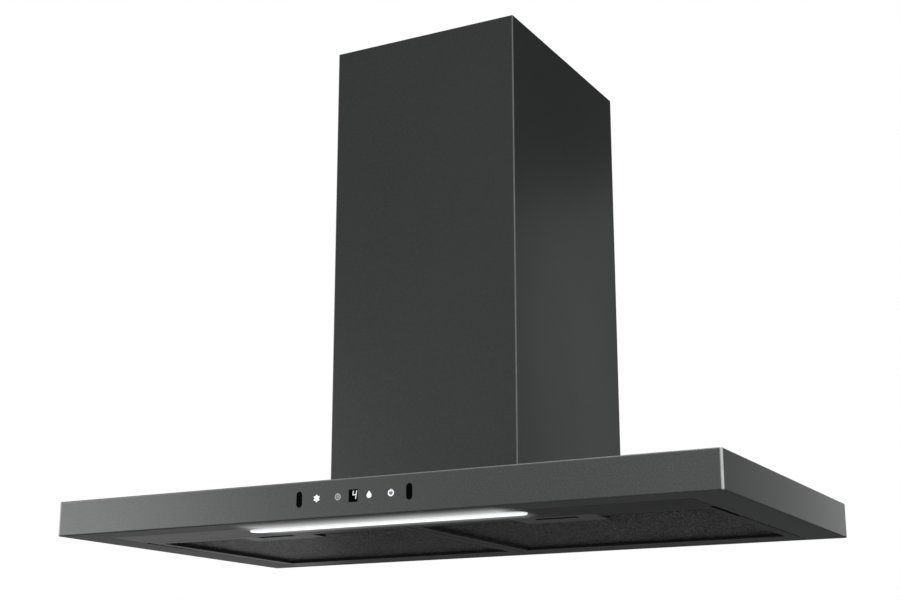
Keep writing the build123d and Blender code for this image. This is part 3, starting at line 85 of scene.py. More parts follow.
def new_group(name, inputs, outputs):
    """A shader node group. inputs and outputs map a socket's name to its kind."""
    group = bpy.data.node_groups.new(name, "ShaderNodeTree")
    for direction, sockets in (("INPUT", inputs), ("OUTPUT", outputs)):
        for socket, kind in sockets.items():
            group.interface.new_socket(socket, in_out=direction, socket_type=SOCKETS[kind])
    start = group.nodes.new("NodeGroupInput")
    end = group.nodes.new("NodeGroupOutput")
    return group, start.outputs, end.inputs


def add_node(tree, kind, **settings):
    """A node of that kind, with its settings."""
    node = tree.nodes.new("ShaderNode" + kind)
    for setting, value in settings.items():
        setattr(node, setting, value)
    return node


print("group helper ready")

# %% [markdown]
# ## Brushed grain
# Steel sheet is brushed on a belt, which leaves fine scratches that all run one way. An image of
# scratches would do, but it would stretch on folded sheet. Noise that is squeezed along one axis
# of the hood gives the same lines on every face, so the grain is noise with a stretch vector.

# %% Build the grain group
GRAIN_DETAIL = 3.0


def make_grain_group():
    group, given, out = new_group(
        "brushed grain",
        {"Stretch": "vector", "Contrast": "value"},
        {"Height": "value", "Streaks": "value"},
    )
    place = add_node(group, "TexCoord")
    stretched = add_node(group, "VectorMath", operation="MULTIPLY")
    lines = add_node(group, "TexNoise")
    lines.inputs["Scale"].default_value = 1.0
    lines.inputs["Detail"].default_value = GRAIN_DETAIL
    centred = add_node(group, "Math", operation="SUBTRACT")
    centred.inputs[1].default_value = 0.5
    scaled = add_node(group, "Math", operation="MULTIPLY_ADD")
    scaled.inputs[2].default_value = 0.5
    link = group.links.new
    link(place.outputs["Object"], stretched.inputs[0])
    link(given["Stretch"], stretched.inputs[1])
    link(stretched.outputs[0], lines.inputs["Vector"])
    link(lines.outputs["Fac"], centred.inputs[0])
    link(centred.outputs[0], scaled.inputs[0])
    link(given["Contrast"], scaled.inputs[1])
    link(lines.outputs["Fac"], out["Height"])
    link(scaled.outputs[0], out["Streaks"])
    return group


grain_group = make_grain_group()
print("group:", grain_group.name)

# %% [markdown]
# ## Fine speckle
# This hood's steel is dark because it is coated, and from close by the coat glitters with tiny
# lighter points. Painted dots would be too regular. A high, soft threshold on very fine noise
# leaves points of uneven size, which is what the coat shows.

# %% Build the speckle group
SPECKLE_START = 0.52
SPECKLE_FULL = 0.74


def make_speckle_group():
    group, given, out = new_group(
        "fine speckle",
        {"Size": "value", "Amount": "value"},
        {"Points": "value"},
    )
    place = add_node(group, "TexCoord")
    fine = add_node(group, "TexNoise")
    fine.inputs["Detail"].default_value = 1.0
    cut = add_node(group, "MapRange", interpolation_type="SMOOTHSTEP")
    cut.inputs["From Min"].default_value = SPECKLE_START
    cut.inputs["From Max"].default_value = SPECKLE_FULL
    weighed = add_node(group, "Math", operation="MULTIPLY")
    link = group.links.new
    link(place.outputs["Object"], fine.inputs["Vector"])
    link(given["Size"], fine.inputs["Scale"])
    link(fine.outputs["Fac"], cut.inputs["Value"])
    link(cut.outputs["Result"], weighed.inputs[0])
    link(given["Amount"], weighed.inputs[1])
    link(weighed.outputs[0], out["Points"])
    return group


speckle_group = make_speckle_group()
print("group:", speckle_group.name)

# %% [markdown]
# ## Slow changes of tone
# No sheet, coat or moulding has quite the same tone all over. Two close colours mixed by large
# soft noise show that, and the same noise can make the gloss uneven where hands have wiped it.

# %% Build the tone group
def make_tone_group():
    group, given, out = new_group(
        "soft tone",
        {"Dark": "color", "Light": "color", "Size": "value", "Extra": "value"},
        {"Color": "color", "Patches": "value"},
    )
    place = add_node(group, "TexCoord")
    clouds = add_node(group, "TexNoise")
    clouds.inputs["Detail"].default_value = 2.0
    raised = add_node(group, "Math", operation="ADD", use_clamp=True)
    mixed = add_node(group, "Mix", data_type="RGBA")
    link = group.links.new
    link(place.outputs["Object"], clouds.inputs["Vector"])
    link(given["Size"], clouds.inputs["Scale"])
    link(clouds.outputs["Fac"], raised.inputs[0])
    link(given["Extra"], raised.inputs[1])
    link(raised.outputs[0], mixed.inputs["Factor"])
    link(given["Dark"], mixed.inputs["A"])
    link(given["Light"], mixed.inputs["B"])
    link(mixed.outputs["Result"], out["Color"])
    link(clouds.outputs["Fac"], out["Patches"])
    return group


tone_group = make_tone_group()
print("group:", tone_group.name)

# %% [markdown]
# ## Zinc flowers
# Zinc that sets on hot steel grows flat crystals, which show as patches that are each a little
# lighter or darker. Cells of a Voronoi texture have just that shape, and each gets a grey of
# its own.

# %% Build the spangle group
def make_spangle_group():
    group, given, out = new_group(
        "zinc spangle",
        {"Size": "value", "Contrast": "value"},
        {"Shade": "value"},
    )
    place = add_node(group, "TexCoord")
    cells = add_node(group, "TexVoronoi")
    shade = add_node(group, "SeparateXYZ")
    centred = add_node(group, "Math", operation="SUBTRACT")
    centred.inputs[1].default_value = 0.5
    spread = add_node(group, "Math", operation="MULTIPLY_ADD")
    spread.inputs[2].default_value = 1.0
    link = group.links.new
    link(place.outputs["Object"], cells.inputs["Vector"])
    link(given["Size"], cells.inputs["Scale"])
    link(cells.outputs["Color"], shade.inputs[0])
    link(shade.outputs["X"], centred.inputs[0])
    link(centred.outputs[0], spread.inputs[0])
    link(given["Contrast"], spread.inputs[1])
    link(spread.outputs[0], out["Shade"])
    return group


spangle_group = make_spangle_group()
print("group:", spangle_group.name)

# %% [markdown]
# ## Painted highlights on the folds
# Where the sheet is folded round a corner, a thin line of light runs along it, and that line is a
# painted highlight: bright steel colour mixed into the coat's colour. A separate bright strip
# would stand proud of the sheet, so this is a mask instead: it is 1 on the fold and falls off over
# a width given in metres. It folds the hood's left half onto its right one, so one corner stands
# for both, and "Across" picks the two directions square to the fold.

# %% Build the fold group
HIGHLIGHT_PATCHES_PER_METRE = 90.0
LEAST_HIGHLIGHT = 0.75
HIGHLIGHT_SPREAD = 0.5


def make_fold_group():
    group, given, out = new_group(
        "painted fold highlight",
        {"Corner": "vector", "Across": "vector", "Width": "value", "Amount": "value"},
        {"Highlight": "value"},
    )
    place = add_node(group, "TexCoord")
    parts = add_node(group, "SeparateXYZ")
    sideways = add_node(group, "Math", operation="ABSOLUTE")
    mirrored = add_node(group, "CombineXYZ")
    inward = add_node(group, "VectorMath", operation="SUBTRACT")
    away = add_node(group, "VectorMath", operation="DOT_PRODUCT")
    near_fold = add_node(group, "MapRange", interpolation_type="SMOOTHSTEP")
    near_fold.inputs["From Min"].default_value = 0.0
    near_fold.inputs["To Min"].default_value = 1.0
    near_fold.inputs["To Max"].default_value = 0.0
    uneven = add_node(group, "TexNoise")
    uneven.inputs["Scale"].default_value = HIGHLIGHT_PATCHES_PER_METRE
    highlighted = add_node(group, "Math", operation="MULTIPLY_ADD")
    highlighted.inputs[1].default_value = HIGHLIGHT_SPREAD
    highlighted.inputs[2].default_value = LEAST_HIGHLIGHT
    weighed = add_node(group, "Math", operation="MULTIPLY")
    kept = add_node(group, "Math", operation="MULTIPLY", use_clamp=True)
    link = group.links.new
    link(place.outputs["Object"], parts.inputs[0])
    link(parts.outputs["X"], sideways.inputs[0])
    link(sideways.outputs[0], mirrored.inputs["X"])
    link(parts.outputs["Y"], mirrored.inputs["Y"])
    link(parts.outputs["Z"], mirrored.inputs["Z"])
    link(given["Corner"], inward.inputs[0])
    link(mirrored.outputs[0], inward.inputs[1])
    link(inward.outputs[0], away.inputs[0])
    link(given["Across"], away.inputs[1])
    link(away.outputs["Value"], near_fold.inputs["Value"])
    link(given["Width"], near_fold.inputs["From Max"])
    link(place.outputs["Object"], uneven.inputs["Vector"])
    link(uneven.outputs["Fac"], highlighted.inputs[0])
    link(near_fold.outputs["Result"], weighed.inputs[0])
    link(highlighted.outputs[0], weighed.inputs[1])
    link(weighed.outputs[0], kept.inputs[0])
    link(given["Amount"], kept.inputs[1])
    link(kept.outputs[0], out["Highlight"])
    return group


fold_group = make_fold_group()
print("group:", fold_group.name)

# %% [markdown]
# ## Light round the bar
# The light bar is brightest over its row of lamp chips and dims towards its edges, and the steel
# beside it catches a soft band of its light. A real bounce of light this shallow is slow and
# noisy to render, so both are drawn as a glow that depends on how far a point lies from a box.
# The glow fades faster past the box's ends than beside it. The box of the glow on the steel is a
# little shorter than the bar and a little in front of it.

# %% Build the glow group
END_FADE = 1.4
GLOW_POWER = 2.0
GLOW_FORWARD = 5.0 * MM
GLOW_SHORTER = 30.0 * MM


def make_glow_group():
    group, given, out = new_group(
        "bar glow",
        {"Centre": "vector", "Half": "vector", "Reach": "value"},
        {"Glow": "value"},
    )
    place = add_node(group, "TexCoord")
    offset = add_node(group, "VectorMath", operation="SUBTRACT")
    mirrored = add_node(group, "VectorMath", operation="ABSOLUTE")
    outside = add_node(group, "VectorMath", operation="SUBTRACT")
    beyond = add_node(group, "VectorMath", operation="MAXIMUM")
    weighed = add_node(group, "VectorMath", operation="MULTIPLY")
    weighed.inputs[1].default_value = (END_FADE, 1.0, 1.0)
    away = add_node(group, "VectorMath", operation="LENGTH")
    faded = add_node(group, "MapRange")
    faded.inputs["To Min"].default_value = 1.0
    faded.inputs["To Max"].default_value = 0.0
    softened = add_node(group, "Math", operation="POWER")
    softened.inputs[1].default_value = GLOW_POWER
    link = group.links.new
    link(place.outputs["Object"], offset.inputs[0])
    link(given["Centre"], offset.inputs[1])
    link(offset.outputs[0], mirrored.inputs[0])
    link(mirrored.outputs[0], outside.inputs[0])
    link(given["Half"], outside.inputs[1])
    link(outside.outputs[0], beyond.inputs[0])
    link(beyond.outputs[0], weighed.inputs[0])
    link(weighed.outputs[0], away.inputs[0])
    link(away.outputs["Value"], faded.inputs["Value"])
    link(given["Reach"], faded.inputs["From Max"])
    link(faded.outputs["Result"], softened.inputs[0])
    link(softened.outputs[0], out["Glow"])
    return group


glow_group = make_glow_group()
lens_low, lens_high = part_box("light_lens")
LENS_CENTRE = (lens_low + lens_high) / 2
LENS_HALF = (lens_high - lens_low) / 2
GLOW_CENTRE = LENS_CENTRE - Vector((0.0, GLOW_FORWARD, 0.0))
GLOW_HALF = LENS_HALF - Vector((GLOW_SHORTER, 0.0, 0.0))
print("light bar:", [round(side / MM) for side in lens_high - lens_low], "mm")

# %% [markdown]
# ## One recipe for sheet metal
# Canopy, chimney, filters, the light's channel and the galvanised frame inside are all sheet
# metal. They differ in tone, in the direction of the grain and in how sharp it is, so one
# function with those values makes them all. The grain feeds the bump and the roughness, and the
# speckle lightens the tone. Faces that look down are found by their direction, because there the
# canopy's coat is duller and the bar's light is painted on the steel as a glow.

# %% Start a material
def new_material(name):
    """A material with its shader and its node tree."""
    material = bpy.data.materials.new(name)
    material.use_nodes = True
    return material, material.node_tree, material.node_tree.nodes["Principled BSDF"]


def place_group(tree, group, **values):
    """One of the groups above in this material, with its own values."""
    node = tree.nodes.new("ShaderNodeGroup")
    node.node_tree = group
    for name, value in values.items():
        node.inputs[name].default_value = value
    return node


def spread_over(tree, source, low, high):
    """Spreads a value of 0 to 1 over low to high."""
    node = add_node(tree, "MapRange")
    node.inputs["To Min"].default_value = low
    node.inputs["To Max"].default_value = high
    tree.links.new(source, node.inputs["Value"])
    return node.outputs["Result"]


def shaded(tree, surface, shade):
    """A surface's colour times a shade around 1."""
    node = add_node(tree, "Mix", data_type="RGBA", blend_type="MULTIPLY")
    node.inputs["Factor"].default_value = 1.0
    tree.links.new(surface, node.inputs["A"])
    tree.links.new(shade, node.inputs["B"])
    return node.outputs["Result"]


def raise_bumps(tree, shader, height, share, distance):
    """Bumps from a height of 0 to 1, as deep as distance in metres and weakened to a share."""
    bump = add_node(tree, "Bump")
    bump.inputs["Strength"].default_value = share
    bump.inputs["Distance"].default_value = distance
    tree.links.new(height, bump.inputs["Height"])
    tree.links.new(bump.outputs["Normal"], shader.inputs["Normal"])


print("material helpers ready")

# %% Mix greys
COAT_RED = 0.975


def grey(level, tint=0.0):
    """A grey with a little blue (tint above 0) or warmth (tint below 0), as shader colour."""
    return (level * (1 - tint), level, level * (1 + tint), 1.0)


def coat(level):
    """The grey of the steel's dark coat, which has a little less red."""
    return (level * COAT_RED, level, level, 1.0)


# bright steel colour, painted along the folds as a highlight
FOLD_HIGHLIGHT_COLOR = grey(0.8)
print("bare steel:", FOLD_HIGHLIGHT_COLOR)

# %% Paint highlights on the folds and find the faces that look down
FACES_DOWN = -0.9
FACES_LEVEL = -0.4
GLOW_REACH = 0.05


def paint_fold_highlights(tree, surface, folds):
    """Mixes a painted highlight of bright steel colour into a surface's colour on each of these
    folds.
    """
    for fold in folds:
        highlight = place_group(tree, fold_group, **fold)
        highlighted = add_node(tree, "Mix", data_type="RGBA")
        highlighted.inputs["B"].default_value = FOLD_HIGHLIGHT_COLOR
        tree.links.new(highlight.outputs["Highlight"], highlighted.inputs["Factor"])
        tree.links.new(surface, highlighted.inputs["A"])
        surface = highlighted.outputs["Result"]
    return surface


def looks_down(tree):
    """A mask that is 1 on faces that look down and 0 on upright ones."""
    facing = add_node(tree, "TexCoord")
    directions = add_node(tree, "SeparateXYZ")
    below = add_node(tree, "MapRange")
    below.inputs["From Min"].default_value = FACES_DOWN
    below.inputs["From Max"].default_value = FACES_LEVEL
    below.inputs["To Min"].default_value = 1.0
    below.inputs["To Max"].default_value = 0.0
    tree.links.new(facing.outputs["Normal"], directions.inputs[0])
    tree.links.new(directions.outputs["Z"], below.inputs["Value"])
    return below.outputs["Result"]


def catch_glow(tree, shader, below, strength):
    """A painted glow of the light bar's light on the faces that look down."""
    spill = place_group(tree, glow_group, Centre=GLOW_CENTRE, Half=GLOW_HALF, Reach=GLOW_REACH)
    caught = add_node(tree, "Math", operation="MULTIPLY")
    tree.links.new(spill.outputs["Glow"], caught.inputs[0])
    tree.links.new(below, caught.inputs[1])
    tree.links.new(caught.outputs[0], shader.inputs["Emission Color"])
    shader.inputs["Emission Strength"].default_value = strength


print("folds and undersides ready")

# %% Make a sheet metal
TONE_PATCHES = 2.4
STREAK_SHADES = (0.86, 1.14)
GLOSS_SPREAD = 0.05
SPANGLES_PER_METRE = 110.0


def sheet_metal(name, dark, light, stretch, roughness, streaks=0.5, speckle=0.3, metal=1.0,
                edge=0.5, folds=(), spots=1500.0, glow=0.0, dull_below=0.0,
                relief=0.05 * MM, relief_share=0.12, spangle=0.0):
    """Brushed sheet between two tones. edge is its tint at a shallow angle."""
    material, tree, shader = new_material(name)
    link = tree.links.new
    grain = place_group(tree, grain_group, Stretch=stretch, Contrast=streaks)
    points = place_group(tree, speckle_group, Size=spots, Amount=speckle)
    tone = place_group(tree, tone_group, Dark=dark, Light=light, Size=TONE_PATCHES)
    link(points.outputs["Points"], tone.inputs["Extra"])
    lines = spread_over(tree, grain.outputs["Streaks"], *STREAK_SHADES)
    surface = shaded(tree, tone.outputs["Color"], lines)
    if spangle:
        flowers = place_group(tree, spangle_group, Size=SPANGLES_PER_METRE, Contrast=spangle)
        surface = shaded(tree, surface, flowers.outputs["Shade"])
    # painted highlights of bright steel colour along the folds
    link(paint_fold_highlights(tree, surface, folds), shader.inputs["Base Color"])
    below = looks_down(tree)
    gloss = spread_over(tree, grain.outputs["Streaks"], roughness - GLOSS_SPREAD,
                        roughness + GLOSS_SPREAD)
    dulled = add_node(tree, "Math", operation="MULTIPLY_ADD", use_clamp=True)
    dulled.inputs[1].default_value = dull_below
    link(below, dulled.inputs[0])
    link(gloss, dulled.inputs[2])
    link(dulled.outputs[0], shader.inputs["Roughness"])
    if glow:
        catch_glow(tree, shader, below, glow)
    raise_bumps(tree, shader, grain.outputs["Height"], relief_share, relief)
    shader.inputs["Metallic"].default_value = metal
    shader.inputs["Specular IOR Level"].default_value = edge
    shader.inputs["Specular Tint"].default_value = grey(edge)
    return material


print("sheet metal ready")

# %% Choose the folds that get a painted highlight
UPRIGHT = (1.0, -1.0, 0.0)
LEVEL_FRONT = (0.0, -1.0, 1.0)
cover_low, cover_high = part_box("chimney_lower_cover")
canopy_corner = (shell_high.x, FRONT_FACE, CANOPY_TOP)
chimney_corner = (cover_high.x, cover_low.y, cover_high.z)


def fold_at(corner, across, width, amount):
    """The values of a fold's painted highlight, with its width in mm."""
    return {"Corner": corner, "Across": across, "Width": width * MM, "Amount": amount}


canopy_folds = (fold_at(canopy_corner, UPRIGHT, 3.4, 1.2),
                fold_at(canopy_corner, LEVEL_FRONT, 2.2, 0.3))
chimney_folds = (fold_at(chimney_corner, UPRIGHT, 2.0, 0.3),)
print("rubbed folds:", len(canopy_folds) + len(chimney_folds))

# %% Mix the sheet metals
ALONG_X = (60.0, 2600.0, 2600.0)
ALONG_Z = (2600.0, 2600.0, 60.0)
STRETCHED_OPEN = (420.0, 120.0, 420.0)
finishes = {
    "canopy_steel": sheet_metal("canopy steel", coat(0.054), coat(0.07), ALONG_X, 0.36,
                                speckle=2.0, edge=0.42, folds=canopy_folds, spots=560.0,
                                dull_below=0.2, glow=0.5),
    "chimney_steel": sheet_metal("chimney steel", coat(0.034), coat(0.045), ALONG_X, 0.36,
                                 speckle=0.9, edge=0.4, folds=chimney_folds, spots=650.0),
    "underside_steel": sheet_metal("underside steel", coat(0.06), coat(0.08), ALONG_X, 0.4,
                                   edge=0.22, spots=650.0, glow=0.5),
    "latch_steel": sheet_metal("latch plate steel", coat(0.06), coat(0.08), ALONG_X, 0.45,
                               speckle=0.1, edge=0.4, glow=0.5),
    "filter_mesh": sheet_metal("mesh alloy", grey(0.04), grey(0.09), STRETCHED_OPEN, 0.3,
                               streaks=3.0, speckle=1.8, edge=0.38, spots=260.0, glow=0.4,
                               relief=2.0 * MM, relief_share=0.6),
    "galvanised_sheet": sheet_metal("galvanised sheet", grey(0.34, 0.01), grey(0.46, 0.02),
                                    ALONG_Z, 0.45, speckle=0.6, spangle=0.35),
    "light_body": sheet_metal("white channel", grey(0.62), grey(0.7), ALONG_X, 0.5, metal=0.0),
    "wheel_alloy": sheet_metal("wheel alloy", grey(0.45), grey(0.55), ALONG_X, 0.38, speckle=0.1),
    "plain_steel": sheet_metal("bright zinc", grey(0.42), grey(0.52), ALONG_X, 0.3, speckle=0.1),
}
print("sheet metals:", len(finishes))

# %% [markdown]
# ## Plastics, paint and rubber
# Moulded plastic has a fine spark-eroded texture, motor paint has soft lumps, and rubber is dull
# and dusty. They are all one fine noise as bump over a close pair of tones, at different scales.

# %% Make a moulded or painted finish
MOULDED_PATCHES = 18.0
MOULDED_GLOSS_SPREAD = 0.06
SPARK_DEPTH = 0.2 * MM


def moulded(name, dark, light, roughness, size, depth, shine=0.5):
    """Plastic, paint or rubber between two tones, with bumps of this many per metre."""
    material, tree, shader = new_material(name)
    shader.inputs["Specular IOR Level"].default_value = shine
    link = tree.links.new
    points = place_group(tree, speckle_group, Size=size, Amount=1.0)
    tone = place_group(tree, tone_group, Dark=dark, Light=light, Size=MOULDED_PATCHES)
    link(tone.outputs["Color"], shader.inputs["Base Color"])
    gloss = spread_over(tree, tone.outputs["Patches"], roughness - MOULDED_GLOSS_SPREAD,
                        roughness + MOULDED_GLOSS_SPREAD)
    link(gloss, shader.inputs["Roughness"])
    raise_bumps(tree, shader, points.outputs["Points"], depth, SPARK_DEPTH)
    return material


print("moulded finish ready")

# %% Mix the plastics, paints and rubbers
DARK_BOARD = (0.008, 0.06, 0.03, 1.0)
LIGHT_BOARD = (0.02, 0.12, 0.06, 1.0)
MOULDED = {
    # the latch bolt is blackened steel, and near black so that the slot above it reads as painted
    # shade
    "slider_steel": ("blackened latch bolt in painted shade", grey(0.004), grey(0.008), 0.6, 900.0, 0.2, 0.02),
    # near black strips of painted shade round the filters' mesh
    "shade_strip_black": ("black painted shade", grey(0.004), grey(0.008), 0.7, 1500.0, 0.3, 0.2),
    "black_plastic": ("black plastic", grey(0.012), grey(0.02), 0.55, 1800.0, 0.4),
    "dark_window": ("smoked window", grey(0.001), grey(0.002), 0.3, 200.0, 0.02, 0.01),
    "outlet_plastic": ("outlet plastic", grey(0.016), grey(0.026), 0.5, 1200.0, 0.5),
    "motor_paint": ("motor paint", grey(0.02), grey(0.035), 0.4, 500.0, 0.5),
    "capacitor_case": ("capacitor case", grey(0.6, -0.02), grey(0.68, -0.02), 0.45, 900.0, 0.2),
    "soft_rubber": ("soft rubber", grey(0.015), grey(0.03), 0.8, 1500.0, 0.6),
    "wire_sheath": ("wire sheath", grey(0.02), grey(0.035), 0.6, 2400.0, 0.6),
    "circuit_board": ("circuit board", DARK_BOARD, LIGHT_BOARD, 0.3, 900.0, 0.5),
}
for slot, values in MOULDED.items():
    finishes[slot] = moulded(*values)
print("finishes so far:", len(finishes))

# %% [markdown]
# ## Lit pieces
# The light bar, the digit and the touch icons glow. A lamp behind frosted plastic would need
# many samples, so the pieces glow themselves, and the noise keeps a little of the frosting.

# %% Make a glowing finish
FROST_PATCHES = 60.0
FROST_GLOSS = (0.35, 0.5)


def glowing(name, color, strength, frost=0.08):
    """Lit plastic of this colour, with patches that are dimmer by the share frost."""
    material, tree, shader = new_material(name)
    link = tree.links.new
    dim = tuple(part * (1 - frost) for part in color[:3]) + (1.0,)
    tone = place_group(tree, tone_group, Dark=dim, Light=color, Size=FROST_PATCHES)
    link(tone.outputs["Color"], shader.inputs["Base Color"])
    link(tone.outputs["Color"], shader.inputs["Emission Color"])
    shader.inputs["Emission Strength"].default_value = strength
    gloss = spread_over(tree, tone.outputs["Patches"], *FROST_GLOSS)
    link(gloss, shader.inputs["Roughness"])
    return material


print("glowing finish ready")

# %% Light the bar, the digit and the icons
BAR_CORE = 1.5 * MM
BAR_REACH = 13.0 * MM
BAR_END_FADE = 8.0 * MM


def lit_bar(name, core, rim, strength):
    """The light bar: bright over its middle line, dimmer at its long edges and its ends."""
    material = glowing(name, core, strength)
    tree = material.node_tree
    shader = tree.nodes["Principled BSDF"]
    middle = (LENS_HALF.x - BAR_END_FADE, BAR_CORE, LENS_HALF.z)
    hump = place_group(tree, glow_group, Centre=LENS_CENTRE, Half=middle, Reach=BAR_REACH)
    mixed = add_node(tree, "Mix", data_type="RGBA")
    mixed.inputs["A"].default_value = rim
    tone = shader.inputs["Emission Color"].links[0].from_socket  # what glowing has linked
    tree.links.new(hump.outputs["Glow"], mixed.inputs["Factor"])
    tree.links.new(tone, mixed.inputs["B"])
    tree.links.new(mixed.outputs["Result"], shader.inputs["Emission Color"])
    return material


finishes.update(
    {
        "light_diffuser": lit_bar("lit diffuser", (0.93, 0.97, 1.0, 1.0), grey(0.3), 1.15),
        "lamp_chip": glowing("lamp chips", (1.0, 0.93, 0.7, 1.0), 2.0),
        "lit_digit": glowing("lit digit", (0.8, 0.82, 0.84, 1.0), 0.7),
        "lit_icon": glowing("lit icon", (0.8, 0.83, 0.85, 1.0), 0.75),
        "grey_icon": glowing("dim icon", (0.46, 0.5, 0.51, 1.0), 0.35),
        "dim_dial": glowing("dim dial", (0.2, 0.22, 0.23, 1.0), 0.15),
    }
)
print("finishes:", len(finishes))

# %% [markdown]
# ## Putting the finishes on
# Each solid names the finish that it takes in the part's record, so the record can hand them
# out. The light guides of the touch icons, the filters' meshes and the latch springs get theirs
# too, but new pieces take their places further down.

# %% Hand the finishes out
SLOTS = {row["node"]: row["material_slot"] for row in frame["record"]["subparts"]}
for node, slot in SLOTS.items():
    solid = frame["nodes"][node]
    solid.data.materials.clear()
    solid.data.materials.append(finishes[slot])
print("solids with a finish:", len(SLOTS))

# %% [markdown]
# ## Folded and cut edges
# Sheet metal never ends in a perfect corner. Its rounded edges catch a thin line of light, and
# on a dark hood that line is what draws the shape. The solids' meshes must stay as they are, so
# the rounding is a bevel modifier, after a weld that closes the seams between their faces.

# %% Round the edges
SEAM = 0.01 * MM
SHARPEST = math.radians(40)
EDGES = {
    "chimney_base_collar": 0.5,
    "underside_frame": 0.25,
    "filter_frame_left": 0.3,
    "filter_frame_right": 0.3,
    "latch_plate_left": 0.3,
    "latch_plate_right": 0.3,
    "latch_slider_left": 0.2,
    "latch_slider_right": 0.2,
    "electronics_box": 0.6,
    "electronics_lid": 0.5,
    "canopy_stiffeners": 0.3,
    "cover_guides": 0.3,
}


def round_edges(piece, width):
    """Closes the mesh's seams and rounds its edges by this width in mm."""
    weld = piece.modifiers.new("close seams", "WELD")
    weld.merge_threshold = SEAM
    bevel = piece.modifiers.new("round edges", "BEVEL")
    bevel.width = width * MM
    bevel.segments = 2
    bevel.limit_method = "ANGLE"
    bevel.angle_limit = SHARPEST


for name, width in EDGES.items():
    round_edges(frame["nodes"][name], width)
print("solids with rounded edges:", len(EDGES))

# %% [markdown]
# ## Small helpers for new pieces
# A new piece is a mesh that takes a finish and rides on one of the hood's bodies. Flat signs
# start as outlines, so there is one helper that turns an outline into a thin plate on the hood's
# front. An outline has no hole in it, so a flat ring gets a helper of its own.

# %% Make a piece
def mesh_from(bm, name):
    """Turns what was built in a bmesh into a mesh."""
    mesh = bpy.data.meshes.new(name)
    bm.to_mesh(mesh)
    bm.free()
    return mesh


def new_piece(name, mesh, body, finish):
    """A piece of this mesh that rides on a body and has a slot and a finish."""
    piece = bpy.data.objects.new(name, mesh)
    bpy.context.scene.collection.objects.link(piece)
    mesh.materials.append(finish)
    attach(piece, body)
    return piece


print("piece helpers ready")

# %% Draw arcs and circles
def arc(radius, start, end, steps, centre=(0.0, 0.0)):
    """Points on an arc, with angles in degrees that start at the right and turn upwards."""
    points = []
    for number in range(steps + 1):
        angle = math.radians(start + (end - start) * number / steps)
        points.append((centre[0] + radius * math.cos(angle), centre[1] + radius * math.sin(angle)))
    return points


def circle(radius, count):
    """This many points all round a circle."""
    return arc(radius, 0, 360 - 360 / count, count - 1)


print("a circle of four points:", [tuple(map(round, point)) for point in circle(1, 4)])

# %% Make plates and rings
RING_POINTS = 48


def corners_at(bm, outline, centre, y):
    """The corners of an outline of x and z in mm, at this depth."""
    return [bm.verts.new((centre[0] + x * MM, y, centre[1] + z * MM)) for x, z in outline]


def add_plate(bm, outline, centre, face_y, thickness):
    """Adds a plate with this outline, whose face looks to the front."""
    face = corners_at(bm, outline, centre, face_y)
    rear = corners_at(bm, outline, centre, face_y + thickness)
    bm.faces.new(face)
    bm.faces.new(reversed(rear))
    for number in range(len(outline)):
        following = (number + 1) % len(outline)
        bm.faces.new((face[following], face[number], rear[number], rear[following]))


def join_rings(bm, first, second):
    """Walls between two rings of the same count."""
    for corner in range(len(first)):
        following = (corner + 1) % len(first)
        bm.faces.new((first[corner], first[following], second[following], second[corner]))


def add_ring(bm, outer, inner, centre, face_y, thickness):
    """Adds a flat closed ring with these radii in mm, whose face looks to the front."""
    rear_y = face_y + thickness
    loops = [
        corners_at(bm, circle(radius, RING_POINTS), centre, y)
        for radius, y in ((outer, face_y), (inner, face_y), (inner, rear_y), (outer, rear_y))
    ]
    for loop, next_loop in zip(loops, loops[1:] + loops[:1]):
        join_rings(bm, loop, next_loop)


print("plate helpers ready")

# %% [markdown]
# ## The touch icons
# The icons are etched through the coat and lit from behind: a fan, a clock, a droplet and a
# power sign. They could be a painted texture, but real outlines stay sharp from close by. Each
# sign is a thin plate just under the fascia's face, on a disc of fascia steel that fills the
# light guide's hole. The clock and the power sign have a dimly lit dial inside their rings.

# %% Draw the fan
SIGN_THICKNESS = 0.1 * MM
SIGN_STEP = 0.02 * MM
BLADES = 6
BLADE_POINTS = 24
BLADE_PLACE = 2.6
BLADE_LENGTH = 1.95
BLADE_WIDTH = 1.35
HUB_RADIUS = 2.4


def fan_sign(bm, centre, face):
    """Six oval blades round a hub, at three depths so that no two faces fall together."""
    for number in range(BLADES):
        turn = math.radians(90 + 360 * number / BLADES)
        blade = []
        for x, z in circle(1.0, BLADE_POINTS):
            along = BLADE_PLACE + BLADE_LENGTH * x
            across = BLADE_WIDTH * z
            blade.append((along * math.cos(turn) - across * math.sin(turn),
                          along * math.sin(turn) + across * math.cos(turn)))
        add_plate(bm, blade, centre, face + SIGN_STEP * (number % 2), SIGN_THICKNESS)
    hub = circle(HUB_RADIUS, BLADE_POINTS)
    add_plate(bm, hub, centre, face - SIGN_STEP, SIGN_THICKNESS)


print("fan across:", round(2 * (BLADE_PLACE + BLADE_LENGTH), 1), "mm")

# %% Draw the clock
SIGN_RADIUS = 4.1
CLOCK_HOLE = 3.0


def clock_sign(bm, centre, face):
    """A ring with an upright minute hand and an hour hand."""
    minute_hand = [(-0.4, -0.9), (-0.4, 2.2), (0.4, 2.2), (0.4, -0.9)]
    hour_hand = [(-0.4, -0.9), (0.4, -0.9), (2.1, 0.6), (1.6, 1.2)]
    add_ring(bm, SIGN_RADIUS, CLOCK_HOLE, centre, face, SIGN_THICKNESS)
    add_plate(bm, minute_hand, centre, face, SIGN_THICKNESS)
    add_plate(bm, hour_hand, centre, face - SIGN_STEP, SIGN_THICKNESS)


print("clock across:", 2 * SIGN_RADIUS, "mm")

# %% Draw the droplet
DROP_RADIUS = 3.35
DROP_MIDDLE = (0.0, -0.9)
DROP_TIP = [(0.5, 4.0), (0.0, 4.5), (-0.5, 4.0)]


